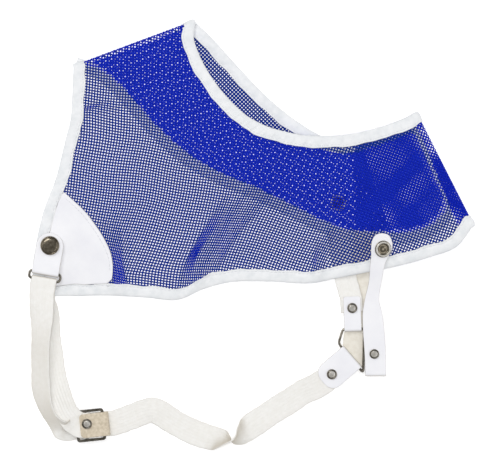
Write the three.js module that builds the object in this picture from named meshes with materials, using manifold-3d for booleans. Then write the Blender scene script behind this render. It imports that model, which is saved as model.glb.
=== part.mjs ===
// Mesh chest guard laid flat on a table, as separate closed pieces. Millimetres, +Z up.
// Seen from above: +X to the right, +Y towards the shoulder, Z = 0 the table top.
import * as THREE from "three";
import Module from "manifold-3d";

const wasm = await Module();
wasm.setup();

// Driving sizes
const GAP = 0.3; // clearance between neighbouring pieces
const LOOP_GAP = 0.45; // clearance between a ring and the leather folded round it
const MESH_THICK = 1.0;
const TAPE_THICK = 1.0;
const TAPE_WIDTH = 9.5; // how far the folded tape reaches over the cloth
const END_ROW_SPACING = 13; // between the last two rows of the back band
const LEATHER_THICK = 1.2;
const STRAP_WIDTH = 20;
const STRAP_THICK = 1.2;
const SIDE_ELASTIC_WIDTH = 17.5;
const KEEPER_WIDTH = 16;
const WIRE_RADIUS = 1.0;
const SHANK_RADIUS = 1.6;
const RIVET_RADIUS = 4.1;
const SNAP_RADIUS = 7.6;

// Where the middle of the finished outline lies in the layout below
const LAYOUT_CENTRE = { x: 1.2, y: -1.8 };

// Heights of the stacked layers near the side ring
const LOW_LAYER_Z = 2.1;
const RING_Z = 4.0;
const TOP_LAYER_Z = 5.9;

// Smoothness
const FRONT_STEPS = 45;
const BACK_STEPS = 28;
const END_PANEL_STEPS = 14;
const BEND_STEPS = 5;
const MESH_COLUMNS = 6; // inner columns of facets between the two tapes
const STRAP_STEPS = 98;
const PATCH_STEPS = 16;
const PATCH_COLUMNS = 5;
const ROUND_SIDES = 12;

const UP = new THREE.Vector3(0, 0, 1);
const LOWEST_CLOTH_Z = MESH_THICK / 2 + GAP + TAPE_THICK; // the tape then lies on the table

// Names the columns of a table
function table(columns, rows) {
  return rows.map((row) => Object.fromEntries(columns.map((name, i) => [name, row[i]])));
}

const SECTION_COLUMNS = ["armX", "armY", "armZ", "outX", "outY", "outZ", "crown"];

// Front panel: one section per row, from the armhole edge to the outer edge, shoulder to underarm
const FRONT_SECTIONS = table(SECTION_COLUMNS, [
  [-43.3, 167.2, 6.0, -140.9, 130.8, 6.0, 0],
  [-44.8, 155.2, 7.0, -142.0, 108.8, 4.5, 3],
  [-40.8, 142.4, 8.5, -143.2, 91.2, 3.0, 3],
  [-34.4, 129.6, 10.0, -148.0, 72.0, 2.2, 3],
  [-26.4, 117.6, 11.5, -155.2, 43.2, 1.8, 2],
  [-17.6, 106.8, 12.5, -165.2, 16.0, 1.8, 1.5],
  [-8.8, 98.0, 12.8, -171.2, -10.4, 1.8, 1],
  [-0.8, 91.6, 13.0, -173.6, -34.4, 1.8, 1],
  [4.8, 88.4, 13.0, -166.4, -49.0, 1.8, 1],
  [10.4, 85.6, 13.0, -144.0, -51.2, 1.8, 1],
  [17.6, 82.8, 13.0, -116.0, -50.8, 1.8, 1],
  [26.4, 80.4, 13.0, -84.0, -52.4, 1.8, 1.5],
  [35.2, 78.4, 13.0, -57.6, -54.2, 1.8, 1.5],
  [44.0, 77.2, 12.8, -36.8, -45.6, 2.2, 1.5],
  [53.6, 76.6, 12.6, -14.4, -40.0, 3.0, 2],
  [64.0, 76.6, 12.4, 16.0, -39.6, 4.2, 3],
  [74.4, 77.4, 12.2, 48.0, -41.0, 5.4, 4],
  [85.6, 79.2, 12.0, 70.4, -36.8, 6.2, 5],
  [96.8, 81.8, 11.8, 92.8, -32.4, 6.4, 5],
  [108.0, 85.0, 11.4, 120.0, -26.8, 7.2, 5],
  [118.4, 88.8, 11.0, 144.0, -20.0, 8.2, 5],
  [126.4, 92.4, 10.6, 164.4, -12.0, 9.2, 3],
  [130.6, 95.0, 10.2, 177.0, 3.6, 10.2, 0],
]);

// Back band, the lowest layer, from the shoulder fold to its own rounded end
const BACK_SECTIONS = table(SECTION_COLUMNS, [
  [-43.3, 167.2, 1.8, -140.9, 130.8, 1.8, 0],
  [-34.4, 159.2, 1.8, -129.6, 127.2, 1.8, 0],
  [-22.4, 146.4, 1.8, -112.0, 113.6, 1.8, 0],
  [-9.6, 132.0, 1.8, -92.8, 91.6, 1.8, 0],
  [1.6, 120.0, 1.8, -72.0, 69.6, 1.8, 0],
  [12.8, 108.8, 1.8, -48.0, 50.4, 1.8, 0],
  [24.8, 98.0, 1.8, -22.4, 36.8, 1.8, 0],
  [38.4, 88.0, 1.8, 4.8, 25.6, 1.8, 0],
  [52.0, 79.2, 1.8, 32.0, 12.0, 1.8, 0],
  [66.0, 73.4, 1.8, 57.6, -0.4, 1.8, 0],
  [80.8, 72.2, 1.8, 81.6, -8.0, 1.8, 0],
  [96.0, 77.0, 1.8, 105.6, -9.2, 1.8, 0],
  [108.8, 81.6, 1.8, 129.6, -8.8, 1.8, 0],
  [118.4, 85.6, 1.8, 148.8, -1.6, 1.8, 0],
  [126.4, 88.0, 1.8, 160.4, 10.4, 1.8, 0],
  [132.4, 90.0, 1.8, 164.0, 24.0, 1.8, 0],
]);

// Share of its table at which the back band starts, and at which its cloth ends inside its tape
const BACK_SHARE = { start: 0.004, clothEnd: 0.993 };

// Net panel on the band's end: the rows that it covers, its height, its distance from the lower tape
const END_PANEL = { firstRow: 10.1, lastRow: 14.2, z: 4.4, margin: 2.0 };

// Front cloth turned under at the underarm: its height, and how far it reaches at its two ends
const UNDERARM_HEM = { z: 5.8, arm: 2.4, out: 10.0 };

// Creases of the front panel: a rounded ridge along each line
const FRONT_CREASES = table(["fromX", "fromY", "toX", "toY", "height", "width"], [
  [-50.0, -50.0, -4.0, 32.0, 3.6, 7.0],
  [55.0, -32.0, 61.0, 0.0, 2.0, 4.5],
  [-106.0, -42.0, -92.0, -6.0, 2.4, 6.0],
  [-132.0, 96.0, -108.0, 102.0, 1.6, 5.0],
]);

// Leather patch: its curved edge in plan, and the rows of the front table that it covers
const PATCH_EDGE = table(["x", "y"], [
  [-154.0, 36.0],
  [-146.9, 30.4],
  [-132.8, 17.6],
  [-124.8, 7.6],
  [-118.4, -1.8],
  [-112.8, -12.4],
  [-110.0, -22.0],
  [-109.6, -32.0],
  [-111.2, -42.0],
  [-114.0, -52.0],
]);
const PATCH_ROWS = { first: 4.75, last: 9.72 };

const STRAP_COLUMNS = ["x", "y", "z", "lead", "tilt"];

// Elastic strap, slide to left ring, back to the slide, then the long run to the strap end tab.
// lead is the plan direction of its outer edge and tilt the rise of that edge, both in degrees.
const STRAP_ROUTE = table(STRAP_COLUMNS, [
  [-122.4, -153.9, 7.2, -84, 0],
  [-129.6, -154.6, 7.2, -84, 0],
  [-138.2, -152.9, 7.4, -100, 4],
  [-145.4, -145.6, 9.8, -138, 22],
  [-150.4, -135.2, 7.6, -152, 26],
  [-155.2, -121.6, 4.2, -165, 15],
  [-159.2, -102.4, 1.7, -171, 3],
  [-161.6, -82.4, 1.0, -175, 0],
  [-163.2, -64.0, 2.0, -178, 0],
  [-165.6, -54.0, 5.4, -183, 0],
  [-165.2, -43.2, 6.0, -189.9, 0],
  [-164.3, -38.3, 5.8, -189.9, 0],
  [-164.1, -37.0, 6.3, -189.9, 0],
  [-164.0, -36.4, 7.7, -189.9, 0],
  [-164.1, -37.0, 9.1, -189.9, 0],
  [-164.3, -38.3, 9.6, -189.9, 0],
  [-165.3, -44.2, 9.6, -186, -4],
  [-166.2, -56.0, 9.2, -180, -12],
  [-166.0, -70.4, 8.2, -180, -28],
  [-167.2, -90.4, 7.9, -180, -42],
  [-167.2, -110.4, 7.8, -178, -41],
  [-166.4, -126.4, 8.0, -172, -42],
  [-163.0, -139.4, 9.0, -157, -52],
  [-157.2, -150.0, 9.5, -137, -58],
  [-150.8, -156.4, 7.8, -115, -42],
  [-145.8, -157.4, 3.2, -96, -12],
  [-141.4, -156.1, 0.8, -84, 0],
  [-137.0, -155.4, 0.8, -84, 0],
  [-134.7, -155.2, 3.6, -84, 0],
  [-132.8, -155.0, 5.8, -84, 0],
  [-129.6, -154.6, 5.8, -84, 0],
  [-127.4, -154.4, 3.4, -84, 0],
  [-125.2, -154.2, 0.9, -84, 0],
  [-116.0, -153.2, 0.6, -84, 0],
  [-107.2, -152.4, 0.6, -68, 0],
  [-95.2, -148.0, 0.6, -66, 0],
  [-84.8, -143.8, 1.4, -70, 0],
  [-76.8, -142.6, 3.0, -92, 0],
  [-68.8, -146.6, 1.4, -118, 0],
  [-59.2, -152.8, 0.6, -121, 0],
  [-48.8, -158.4, 0.6, -117, 0],
  [-37.6, -162.6, 1.0, -110, 4],
  [-28.0, -165.2, 4.6, -102, 22],
  [-20.8, -166.4, 9.4, -95, 62],
  [-14.4, -166.2, 10.8, 85, 85],
  [-8.0, -162.4, 8.2, 118, 46],
  [0.0, -156.0, 2.4, 126, 10],
  [12.8, -147.2, 0.8, 126, 0],
  [30.4, -136.0, 0.6, 124, 0],
  [42.0, -128.4, 0.8, 126, 0],
  [50.4, -124.6, 2.4, 129, 0],
  [58.2, -119.7, 4.0, 131, 0],
  [65.0, -113.8, 4.0, 131, 0],
  [73.0, -106.9, 4.0, 131, 0],
]);

// Short elastic from the back band's lower tape, on which it lies, into the side tab
const SIDE_ELASTIC_ROUTE = table(STRAP_COLUMNS, [
  [70.4, 1.2, 4.7, 168, 0],
  [72.0, -10.0, 4.7, 169, 0],
  [73.4, -20.0, 3.8, 170, 0],
  [75.6, -32.0, 3.0, 167, 0],
  [78.4, -44.0, 3.4, 166, 0],
  [80.4, -53.0, 4.0, 170, 0],
  [81.6, -64.0, 4.0, 176, 0],
]);

// Leather strip from the back band's lower tape to below the side ring, where it lies lowest
const KEEPER_ROUTE = table(STRAP_COLUMNS, [
  [91.2, 1.0, 4.7, 176, 0],
  [90.8, -8.5, 4.7, 175, 0],
  [90.3, -15.0, 2.6, 175, 0],
  [89.9, -21.0, 1.0, 175, 0],
  [89.4, -34.0, 0.6, 174, 0],
  [86.4, -60.0, 0.6, 172, 0],
  [82.6, -88.0, 0.6, 174, 0],
  [82.0, -108.0, 0.6, 180, 0],
]);

// Snap strap in plan: left and right edge at each Y, head first
const SNAP_STRAP_PLAN = table(["y", "left", "right"], [
  [-1.0, 103.0, 106.0],
  [-2.4, 99.4, 110.2],
  [-6.4, 96.8, 113.0],
  [-13.0, 96.0, 113.8],
  [-19.0, 96.2, 111.0],
  [-26.0, 95.6, 107.6],
  [-40.0, 94.6, 105.0],
  [-54.0, 91.6, 103.0],
  [-64.0, 90.0, 105.4],
  [-78.0, 90.2, 107.2],
  [-96.0, 91.4, 108.4],
  [-117.0, 92.2, 108.8],
]);

// Snap strap from the side: height of its upper layer along Y, head to lower fold
const SNAP_STRAP_DRAPE = table(["y", "z"], [
  [0.0, 14.6],
  [-13.4, 13.9],
  [-25.0, 12.6],
  [-36.0, 10.2],
  [-48.0, 7.4],
  [-62.0, 6.1],
  [-80.0, TOP_LAYER_Z],
]);

// Snaps, rivets and tabs
const SNAP_STRAP_FOLD_Y = -112.8;
const SNAP_STRAP_X = 99.6;
const SNAP_CENTRE = { x: 105.6, y: -13.4 };
const STUD_CENTRE = { x: 103.2, y: -13.0 };
const SIDE_SNAP_CENTRE = { x: 70.4, y: 23.2 };
const SNAP_STRAP_RIVET = { x: 99.2, y: -97.4 };
const SIDE_TAB_RIVET_AT = 16.4; // along the tab, from the ring
const STRAP_END_RIVET_AT = 19.6;
const SNAP_TAB = { length: 31.5, width: 21.5, snapAt: 21.5 };
const SNAP_TAB_TOP_Z = 1.4; // above the left ring
const SLIDE_RIVET = { s: -2.3, side: 1.6 };
const SLIDE_TAB_TOP_Z = 4.7; // above the slide
const STRAP_END = { x: 80.2, y: -100.8, turn: 40.7 };
const SIDE_TAB = { x: 82.2, turn: -88 };
const SNAP_RING_RADIUS = 6.0;
const STUD_LIFT = 1.7; // clears the slope of the panel below the stud

// Rings as wire centre lines
const LEFT_RING = { x: -163.2, y: -32.0, z: 7.7, length: 25.0, depth: 6.4, turn: -99.9 };
const SIDE_RING_CORNERS = table(["x", "y"], [
  [70.6, -89.0],
  [90.4, -112.6],
  [91.2, -77.1],
  [74.4, -77.1],
]);
const RING_CORNER_RADIUS = 3.0;

// Slide buckle
const SLIDE = {
  x: -127.6,
  y: -154.4,
  z: 4.0,
  turn: 6,
  length: 23.4,
  width: 25.6,
  bar: 2.2,
  midBar: -3.6,
};
const SLIDE_THICK = 1.6;

const materials = {
  mesh: new THREE.MeshStandardMaterial({ color: 0x0a1cb8, roughness: 0.6 }),
  tape: new THREE.MeshStandardMaterial({ color: 0xeef0f6, roughness: 0.8 }),
  leather: new THREE.MeshStandardMaterial({ color: 0xf4f2f4, roughness: 0.6 }),
  suede: new THREE.MeshStandardMaterial({ color: 0xd9c7a8, roughness: 0.9 }),
  elastic: new THREE.MeshStandardMaterial({ color: 0xf3efe4, roughness: 0.9 }),
  nickel: new THREE.MeshStandardMaterial({ color: 0x8f8a80, roughness: 0.35, metalness: 1 }),
};

const guard = new THREE.Group();
guard.name = "chest_guard";
guard.position.set(-LAYOUT_CENTRE.x, -LAYOUT_CENTRE.y, 0);

function addPiece(name, geometry, material) {
  const piece = new THREE.Mesh(geometry, material);
  piece.name = name;
  guard.add(piece);
  return piece;
}

function smooth(t) {
  return t * t * (3 - 2 * t);
}

function radians(degrees) {
  return THREE.MathUtils.degToRad(degrees);
}

// Closed geometry from triangles, turned to face outwards
function closedGeometry(points, triangles) {
  let volume = 0;
  for (const [a, b, c] of triangles) {
    volume += points[a].dot(new THREE.Vector3().crossVectors(points[b], points[c]));
  }
  const facing = volume < 0 ? triangles.map(([a, b, c]) => [a, c, b]) : triangles;
  const geometry = new THREE.BufferGeometry().setFromPoints(points);
  geometry.setIndex(facing.flat());
  geometry.computeVertexNormals();
  return geometry;
}

// Skin over a row of like cross-sections; capQuads close an open row at both ends
function loft(sections, capQuads, closed = false) {
  const sides = sections[0].length;
  const points = sections.flat();
  const triangles = [];
  const quad = (a, b, c, d) => triangles.push([a, b, c], [a, c, d]);
  const spans = closed ? sections.length : sections.length - 1;
  for (let i = 0; i < spans; i++) {
    const here = i * sides;
    const next = ((i + 1) % sections.length) * sides;
    for (let j = 0; j < sides; j++) {
      const k = (j + 1) % sides;
      quad(here + j, here + k, next + k, next + j);
    }
  }
  if (!closed) {
    const last = (sections.length - 1) * sides;
    for (const [a, b, c, d] of capQuads) {
      quad(d, c, b, a);
      quad(last + a, last + b, last + c, last + d);
    }
  }
  return closedGeometry(points, triangles);
}

function toSolid(geometry) {
  const flat = geometry.index ? geometry.toNonIndexed() : geometry;
  const found = new Map();
  const vertProperties = [];
  const triVerts = [];
  const position = flat.getAttribute("position");
  for (let i = 0; i < position.count; i++) {
    const xyz = [position.getX(i), position.getY(i), position.getZ(i)];
    const key = xyz.map((v) => Math.round(v * 1e4)).join();
    if (!found.has(key)) {
      found.set(key, found.size);
      vertProperties.push(...xyz);
    }
    triVerts.push(found.get(key));
  }
  const mesh = new wasm.Mesh({
    numProp: 3,
    vertProperties: new Float32Array(vertProperties),
    triVerts: new Uint32Array(triVerts),
  });
  return new wasm.Manifold(mesh);
}

function toGeometry(solid) {
  const mesh = solid.getMesh();
  const geometry = new THREE.BufferGeometry();
  geometry.setAttribute("position", new THREE.BufferAttribute(mesh.vertProperties, 3));
  geometry.setIndex(new THREE.BufferAttribute(mesh.triVerts, 1));
  geometry.computeVertexNormals();
  return geometry;
}

// Upright drill for a shank at x, y
function drill(x, y) {
  const tool = new THREE.CylinderGeometry(SHANK_RADIUS + GAP, SHANK_RADIUS + GAP, 80, ROUND_SIDES);
  return toSolid(tool.rotateX(Math.PI / 2).translate(x, y, 0));
}

// Extra height that the creases give the front panel at x, y
function creaseHeight(x, y) {
  let height = 0;
  for (const crease of FRONT_CREASES) {
    const from = new THREE.Vector2(crease.fromX, crease.fromY);
    const along = new THREE.Vector2(crease.toX, crease.toY).sub(from);
    const offset = new THREE.Vector2(x, y).sub(from);
    const share = THREE.MathUtils.clamp(offset.dot(along) / along.lengthSq(), 0, 1);
    const away = offset.sub(along.multiplyScalar(share)).length() / crease.width;
    height += crease.height * Math.exp(-away * away);
  }
  return height;
}

// Stations of a cloth, each a section line with its normal
function stationsOf(sections, from, to, steps, creased) {
  const armPoints = sections.map((r) => new THREE.Vector3(r.armX, r.armY, r.armZ));
  const outPoints = sections.map((r) => new THREE.Vector3(r.outX, r.outY, r.outZ));
  const arm = new THREE.CatmullRomCurve3(armPoints);
  const out = new THREE.CatmullRomCurve3(outPoints);
  const stations = [];
  for (let i = 0; i <= steps; i++) {
    const t = from + ((to - from) * i) / steps;
    const at = t * (sections.length - 1);
    const row = Math.min(Math.floor(at), sections.length - 2);
    const crown = THREE.MathUtils.lerp(sections[row].crown, sections[row + 1].crown, at - row);
    const station = { arm: arm.getPoint(t), out: out.getPoint(t), normal: UP, crown, creased };
    station.arm.z = Math.max(station.arm.z, LOWEST_CLOTH_Z);
    station.out.z = Math.max(station.out.z, LOWEST_CLOTH_Z);
    stations.push(station);
  }
  return stations;
}

// Stations round a fold, from the upper layer at angle 0 to the lower layer at half a turn
function bendStations(upper, lowerZ, outward) {
  const radius = (upper.arm.z - lowerZ) / 2;
  const stations = [];
  for (let i = 1; i <= BEND_STEPS; i++) {
    const angle = (Math.PI * i) / BEND_STEPS;
    const normal = outward.clone().multiplyScalar(Math.sin(angle)).addScaledVector(UP, Math.cos(angle));
    const shift = normal.clone().multiplyScalar(radius).addScaledVector(UP, -radius);
    stations.push({
      arm: upper.arm.clone().add(shift),
      out: upper.out.clone().add(shift),
      normal,
      crown: 0,
      creased: false,
    });
  }
  return stations;
}

// Point of the cloth's middle surface at a distance from the armhole edge of a station
function clothPoint(station, distance) {
  const share = distance / station.arm.distanceTo(station.out);
  const point = station.arm.clone().lerp(station.out, share);
  point.z = THREE.MathUtils.lerp(station.arm.z, station.out.z, smooth(share));
  point.z += station.crown * 4 * share * (1 - share);
  if (station.creased) {
    point.z += creaseHeight(point.x, point.y);
  }
  return point;
}

function lengthOf(station) {
  return station.arm.distanceTo(station.out);
}

// Distance along a section line that makes the tape TAPE_WIDTH wide square to its edge
function tapeDepth(stations, i, side) {
  const before = stations[Math.max(i - 1, 0)][side];
  const after = stations[Math.min(i + 1, stations.length - 1)][side];
  const tangent = after.clone().sub(before).normalize();
  const across = stations[i].out.clone().sub(stations[i].arm).normalize();
  const square = new THREE.Vector3().crossVectors(tangent, across).length();
  return TAPE_WIDTH / Math.max(square, 0.55);
}

// Columns of a cloth that is held by both its tapes, from the tapes' inner lines
function heldColumns(first, last, length) {
  const edge = TAPE_THICK + GAP;
  const distances = [edge];
  for (let k = 0; k <= MESH_COLUMNS; k++) {
    distances.push(THREE.MathUtils.lerp(first, last, k / MESH_COLUMNS));
  }
  return [...distances, length - edge];
}

// Columns of the end panel: over the armhole tape, but short of the lower tape
function endPanelColumns(first, last) {
  const edge = TAPE_THICK + GAP;
  const far = last - END_PANEL.margin;
  return [edge, (edge + far) / 2, far];
}

// Cloth as a thin solid
function clothSolid(stations, columnsOf) {
  const sections = stations.map((station, i) => {
    const first = tapeDepth(stations, i, "arm");
    const last = lengthOf(station) - tapeDepth(stations, i, "out");
    const middle = columnsOf(first, last, lengthOf(station)).map((d) => clothPoint(station, d));
    const raise = (side) => (p) => p.clone().addScaledVector(station.normal, (side * MESH_THICK) / 2);
    return [...middle.map(raise(1)), ...middle.map(raise(-1)).reverse()];
  });
  const columns = sections[0].length / 2;
  const caps = [];
  for (let k = 0; k < columns - 1; k++) {
    caps.push([k, k + 1, 2 * columns - 2 - k, 2 * columns - 1 - k]);
  }
  return loft(sections, caps);
}

// Tape folded round an edge: each rib holds the edge, the cloth's end and the tape's inner line
function tapeSolid(ribs) {
  const outer = MESH_THICK / 2 + GAP + TAPE_THICK;
  const inner = MESH_THICK / 2 + GAP;
  const sections = ribs.map(({ edge, end, reach, normal }) => {
    const at = (point, height) => point.clone().addScaledVector(normal, height);
    return [
      at(edge, outer),
      at(reach, outer),
      at(reach, inner),
      at(end, inner),
      at(end, -inner),
      at(reach, -inner),
      at(reach, -outer),
      at(edge, -outer),
    ];
  });
  return loft(sections, [
    [0, 1, 2, 3],
    [0, 3, 4, 7],
    [4, 5, 6, 7],
  ]);
}

function sideRibs(stations, side) {
  return stations.map((station, i) => {
    const depth = tapeDepth(stations, i, side);
    const from = (d) => clothPoint(station, side === "arm" ? d : lengthOf(station) - d);
    return { edge: from(0), end: from(TAPE_THICK), reach: from(depth), normal: station.normal };
  });
}

// Ribs of the tape across the last section of a cloth, between the tapes of its two sides
function endRibs(sections, steps) {
  const shareOf = (length) => length / END_ROW_SPACING / (sections.length - 1);
  const reach = 1 - shareOf(TAPE_WIDTH);
  const end = 1 - shareOf(TAPE_THICK);
  const lines = [1, end, reach].map((t) => stationsOf(sections, t, t, 1, false)[0]);
  const margin = 1.9 * TAPE_WIDTH;
  const ribs = [];
  for (let i = 0; i <= steps; i++) {
    const distance = THREE.MathUtils.lerp(margin, lengthOf(lines[0]) - margin, i / steps);
    const share = distance / lengthOf(lines[0]);
    const [edge, endPoint, reachPoint] = lines.map((line) => clothPoint(line, share * lengthOf(line)));
    ribs.push({ edge, end: endPoint, reach: reachPoint, normal: UP });
  }
  return ribs;
}

// Flat band along a route table
function bandSolid(route, width, thick, steps) {
  const path = new THREE.CatmullRomCurve3(route.map((r) => new THREE.Vector3(r.x, r.y, r.z)));
  const leads = route.map((r) => {
    const flat = new THREE.Vector3(Math.cos(radians(r.lead)), Math.sin(radians(r.lead)), 0);
    return flat.multiplyScalar(Math.cos(radians(r.tilt))).addScaledVector(UP, Math.sin(radians(r.tilt)));
  });
  const lead = new THREE.CatmullRomCurve3(leads, false, "catmullrom", 0.5);
  const sections = [];
  for (let i = 0; i <= steps; i++) {
    const t = i / steps;
    const centre = path.getPoint(t);
    const tangent = path.getTangent(t);
    const across = lead.getPoint(t);
    across.addScaledVector(tangent, -across.dot(tangent)).normalize();
    const normal = new THREE.Vector3().crossVectors(tangent, across);
    const corner = (a, n) =>
      centre.clone().addScaledVector(across, (a * width) / 2).addScaledVector(normal, (n * thick) / 2);
    const section = [corner(1, 1), corner(-1, 1), corner(-1, -1), corner(1, -1)];
    const sunk = Math.min(0, ...section.map((p) => p.z));
    sections.push(section.map((p) => p.addScaledVector(UP, -sunk)));
  }
  return loft(sections, [[0, 1, 2, 3]]);
}

// Wire ring through flat corners, rounded at each corner
function wireRing(corners, z) {
  const centreLine = [];
  corners.forEach((corner, i) => {
    const before = corners[(i + corners.length - 1) % corners.length];
    const after = corners[(i + 1) % corners.length];
    const towards = (other) => other.clone().sub(corner).normalize().multiplyScalar(RING_CORNER_RADIUS);
    const start = corner.clone().add(towards(before));
    const finish = corner.clone().add(towards(after));
    centreLine.push(...new THREE.QuadraticBezierCurve(start, corner, finish).getPoints(4));
  });
  const count = centreLine.length;
  const sections = centreLine.map((point, i) => {
    const along = centreLine[(i + 1) % count].clone().sub(centreLine[(i + count - 1) % count]).normalize();
    const sideways = new THREE.Vector3(-along.y, along.x, 0);
    const ring = [];
    for (let k = 0; k < 8; k++) {
      const angle = (2 * Math.PI * k) / 8;
      const place = new THREE.Vector3(point.x, point.y, z);
      place.addScaledVector(sideways, WIRE_RADIUS * Math.cos(angle));
      ring.push(place.addScaledVector(UP, WIRE_RADIUS * Math.sin(angle)));
    }
    return ring;
  });
  return loft(sections, [], true);
}

// Side outline of a strip of even thickness along a centre line
function stripShape(centreLine, thick) {
  const left = [];
  const right = [];
  centreLine.forEach((point, i) => {
    const before = centreLine[Math.max(i - 1, 0)];
    const after = centreLine[Math.min(i + 1, centreLine.length - 1)];
    const along = after.clone().sub(before).normalize();
    const square = new THREE.Vector2(-along.y, along.x).multiplyScalar(thick / 2);
    left.push(point.clone().add(square));
    right.push(point.clone().sub(square));
  });
  return new THREE.Shape([...left, ...right.reverse()]);
}

// Strip given from the side (s, z), as wide as asked across, lying along +X
function extrudedStrip(centreLine, width) {
  const strip = new THREE.ExtrudeGeometry(stripShape(centreLine, LEATHER_THICK), {
    depth: width,
    bevelEnabled: false,
  });
  return toSolid(strip.rotateX(Math.PI / 2).translate(0, width / 2, 0));
}

// Centre line of a strip that comes in at the top, turns round a bar and goes back below
function foldLine(top, bottom, bend) {
  const turn = [];
  for (let i = 0; i <= 8; i++) {
    const angle = Math.PI / 2 - (Math.PI * i) / 8;
    const s = bend.s + bend.radius * Math.cos(angle);
    const z = bend.z + bend.radius * Math.sin(angle);
    turn.push(new THREE.Vector2(s, z));
  }
  return [...top, ...turn, ...bottom];
}

// Upright prism over a plan outline
function planPrism(outline) {
  const prism = new THREE.ExtrudeGeometry(new THREE.Shape(outline), { depth: 80, bevelEnabled: false });
  return toSolid(prism.translate(0, 0, -40));
}

// Plan of a tab along +X: rounded at its far end (negative s), square past its fold
function tabPlan(length, width, endRadius) {
  const half = width / 2;
  const outline = [];
  const centreS = -length + endRadius;
  for (let i = 0; i <= 6; i++) {
    const angle = Math.PI / 2 + (Math.PI / 2) * (i / 6);
    const s = centreS + endRadius * Math.cos(angle);
    const side = half - endRadius + endRadius * Math.sin(angle);
    outline.push(new THREE.Vector2(s, side));
  }
  const lower = outline.map((p) => new THREE.Vector2(p.x, -p.y)).reverse();
  return [new THREE.Vector2(12, half), ...outline, ...lower, new THREE.Vector2(12, -half)];
}

// Leather tab folded round a bar at its origin, with one shank hole
function foldedTab({ length, width, endRadius, back, topZ, backZ, bend, rivetAt, rivetSide = 0 }) {
  const high = bend.z + bend.radius;
  const low = bend.z - bend.radius;
  const top = [
    new THREE.Vector2(-length, topZ),
    new THREE.Vector2(-0.45 * length, topZ),
    new THREE.Vector2(-0.2 * length, THREE.MathUtils.lerp(topZ, high, 0.8)),
  ];
  const bottom = [
    new THREE.Vector2(-0.35 * back, THREE.MathUtils.lerp(backZ, low, 0.6)),
    new THREE.Vector2(-0.6 * back, backZ),
    new THREE.Vector2(-back, backZ),
  ];
  const strip = extrudedStrip(foldLine(top, bottom, bend), width);
  const tab = strip.intersect(planPrism(tabPlan(length, width, endRadius)));
  return toGeometry(tab.subtract(drill(-rivetAt, rivetSide)));
}

// Round part from its half outline (radius, height), lower end first
function turned(outline) {
  const lathe = new THREE.LatheGeometry(outline.map(([r, z]) => new THREE.Vector2(r, z)), ROUND_SIDES);
  return lathe.rotateX(Math.PI / 2);
}

// Domed head on a shank that reaches down from the head's seat at height 0
function rivet(radius, height, shank) {
  return turned([
    [0, -shank],
    [SHANK_RADIUS, -shank],
    [SHANK_RADIUS, 0],
    [radius - 0.3, 0],
    [radius, 0.35 * height],
    [0.8 * radius, 0.8 * height],
    [0.35 * radius, height],
    [0, height],
  ]);
}

// Distance from a section's outer end to where a line in plan crosses it
function reachTo(line, station) {
  const across = station.arm.clone().sub(station.out);
  for (let i = 1; i < line.length; i++) {
    const step = line[i].clone().sub(line[i - 1]);
    const offset = line[i - 1].clone().sub(new THREE.Vector2(station.out.x, station.out.y));
    const cross = across.x * step.y - across.y * step.x;
    const along = (offset.x * across.y - offset.y * across.x) / cross;
    if (along >= 0 && along <= 1) {
      return ((offset.x * step.y - offset.y * step.x) / cross) * lengthOf(station);
    }
  }
  throw new Error("the line doesn't cross this section");
}

// Height of the front panel's middle surface at x, y
function frontHeight(x, y) {
  let best = Infinity;
  let height = 0;
  for (const station of frontRows) {
    for (let k = 0; k <= 60; k++) {
      const point = clothPoint(station, (lengthOf(station) * k) / 60);
      const away = Math.hypot(point.x - x, point.y - y);
      if (away < best) {
        best = away;
        height = point.z;
      }
    }
  }
  return height;
}

// Cloth: front panel with both folds and its underarm hem, back band, and the panel on the band's end
const frontRows = stationsOf(FRONT_SECTIONS, 0, 1, FRONT_STEPS, true);
const shoulderLine = frontRows[0].arm.clone().sub(frontRows[0].out).normalize();
const shoulderOutward = new THREE.Vector3(-shoulderLine.y, shoulderLine.x, 0);
const underarmTop = frontRows[FRONT_STEPS];
const underarmLine = underarmTop.arm.clone().sub(underarmTop.out).normalize();
const underarmOutward = new THREE.Vector3(underarmLine.y, -underarmLine.x, 0);
const underarmBend = bendStations(underarmTop, UNDERARM_HEM.z, underarmOutward);
const hemStart = underarmBend[BEND_STEPS - 1];
const hemEnd = {
  ...hemStart,
  arm: hemStart.arm.clone().addScaledVector(underarmOutward, -UNDERARM_HEM.arm),
  out: hemStart.out.clone().addScaledVector(underarmOutward, -UNDERARM_HEM.out),
};
const frontStations = [
  ...bendStations(frontRows[0], BACK_SECTIONS[0].armZ, shoulderOutward).reverse(),
  ...frontRows,
  ...underarmBend,
  hemEnd,
];
const backStations = stationsOf(BACK_SECTIONS, BACK_SHARE.start, 1, BACK_STEPS, false);
const backCloth = stationsOf(BACK_SECTIONS, BACK_SHARE.start, BACK_SHARE.clothEnd, BACK_STEPS, false);
const backSpans = BACK_SECTIONS.length - 1;
const endPanelStations = stationsOf(
  BACK_SECTIONS,
  END_PANEL.firstRow / backSpans,
  END_PANEL.lastRow / backSpans,
  END_PANEL_STEPS,
  false,
);
for (const station of endPanelStations) {
  station.arm.z = END_PANEL.z;
  station.out.z = END_PANEL.z;
}

addPiece("front_panel", clothSolid(frontStations, heldColumns), materials.mesh);
addPiece("back_band", clothSolid(backCloth, heldColumns), materials.mesh);
addPiece("band_end_panel", clothSolid(endPanelStations, endPanelColumns), materials.mesh);

// Tapes
addPiece("front_armhole_tape", tapeSolid(sideRibs(frontStations, "arm")), materials.tape);
addPiece("front_outer_tape", tapeSolid(sideRibs(frontStations, "out")), materials.tape);
addPiece("back_armhole_tape", tapeSolid(sideRibs(backStations, "arm")), materials.tape);
addPiece("back_lower_tape", tapeSolid(sideRibs(backStations, "out")), materials.tape);
addPiece("back_end_tape", tapeSolid(endRibs(BACK_SECTIONS, 8)), materials.tape);

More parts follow.
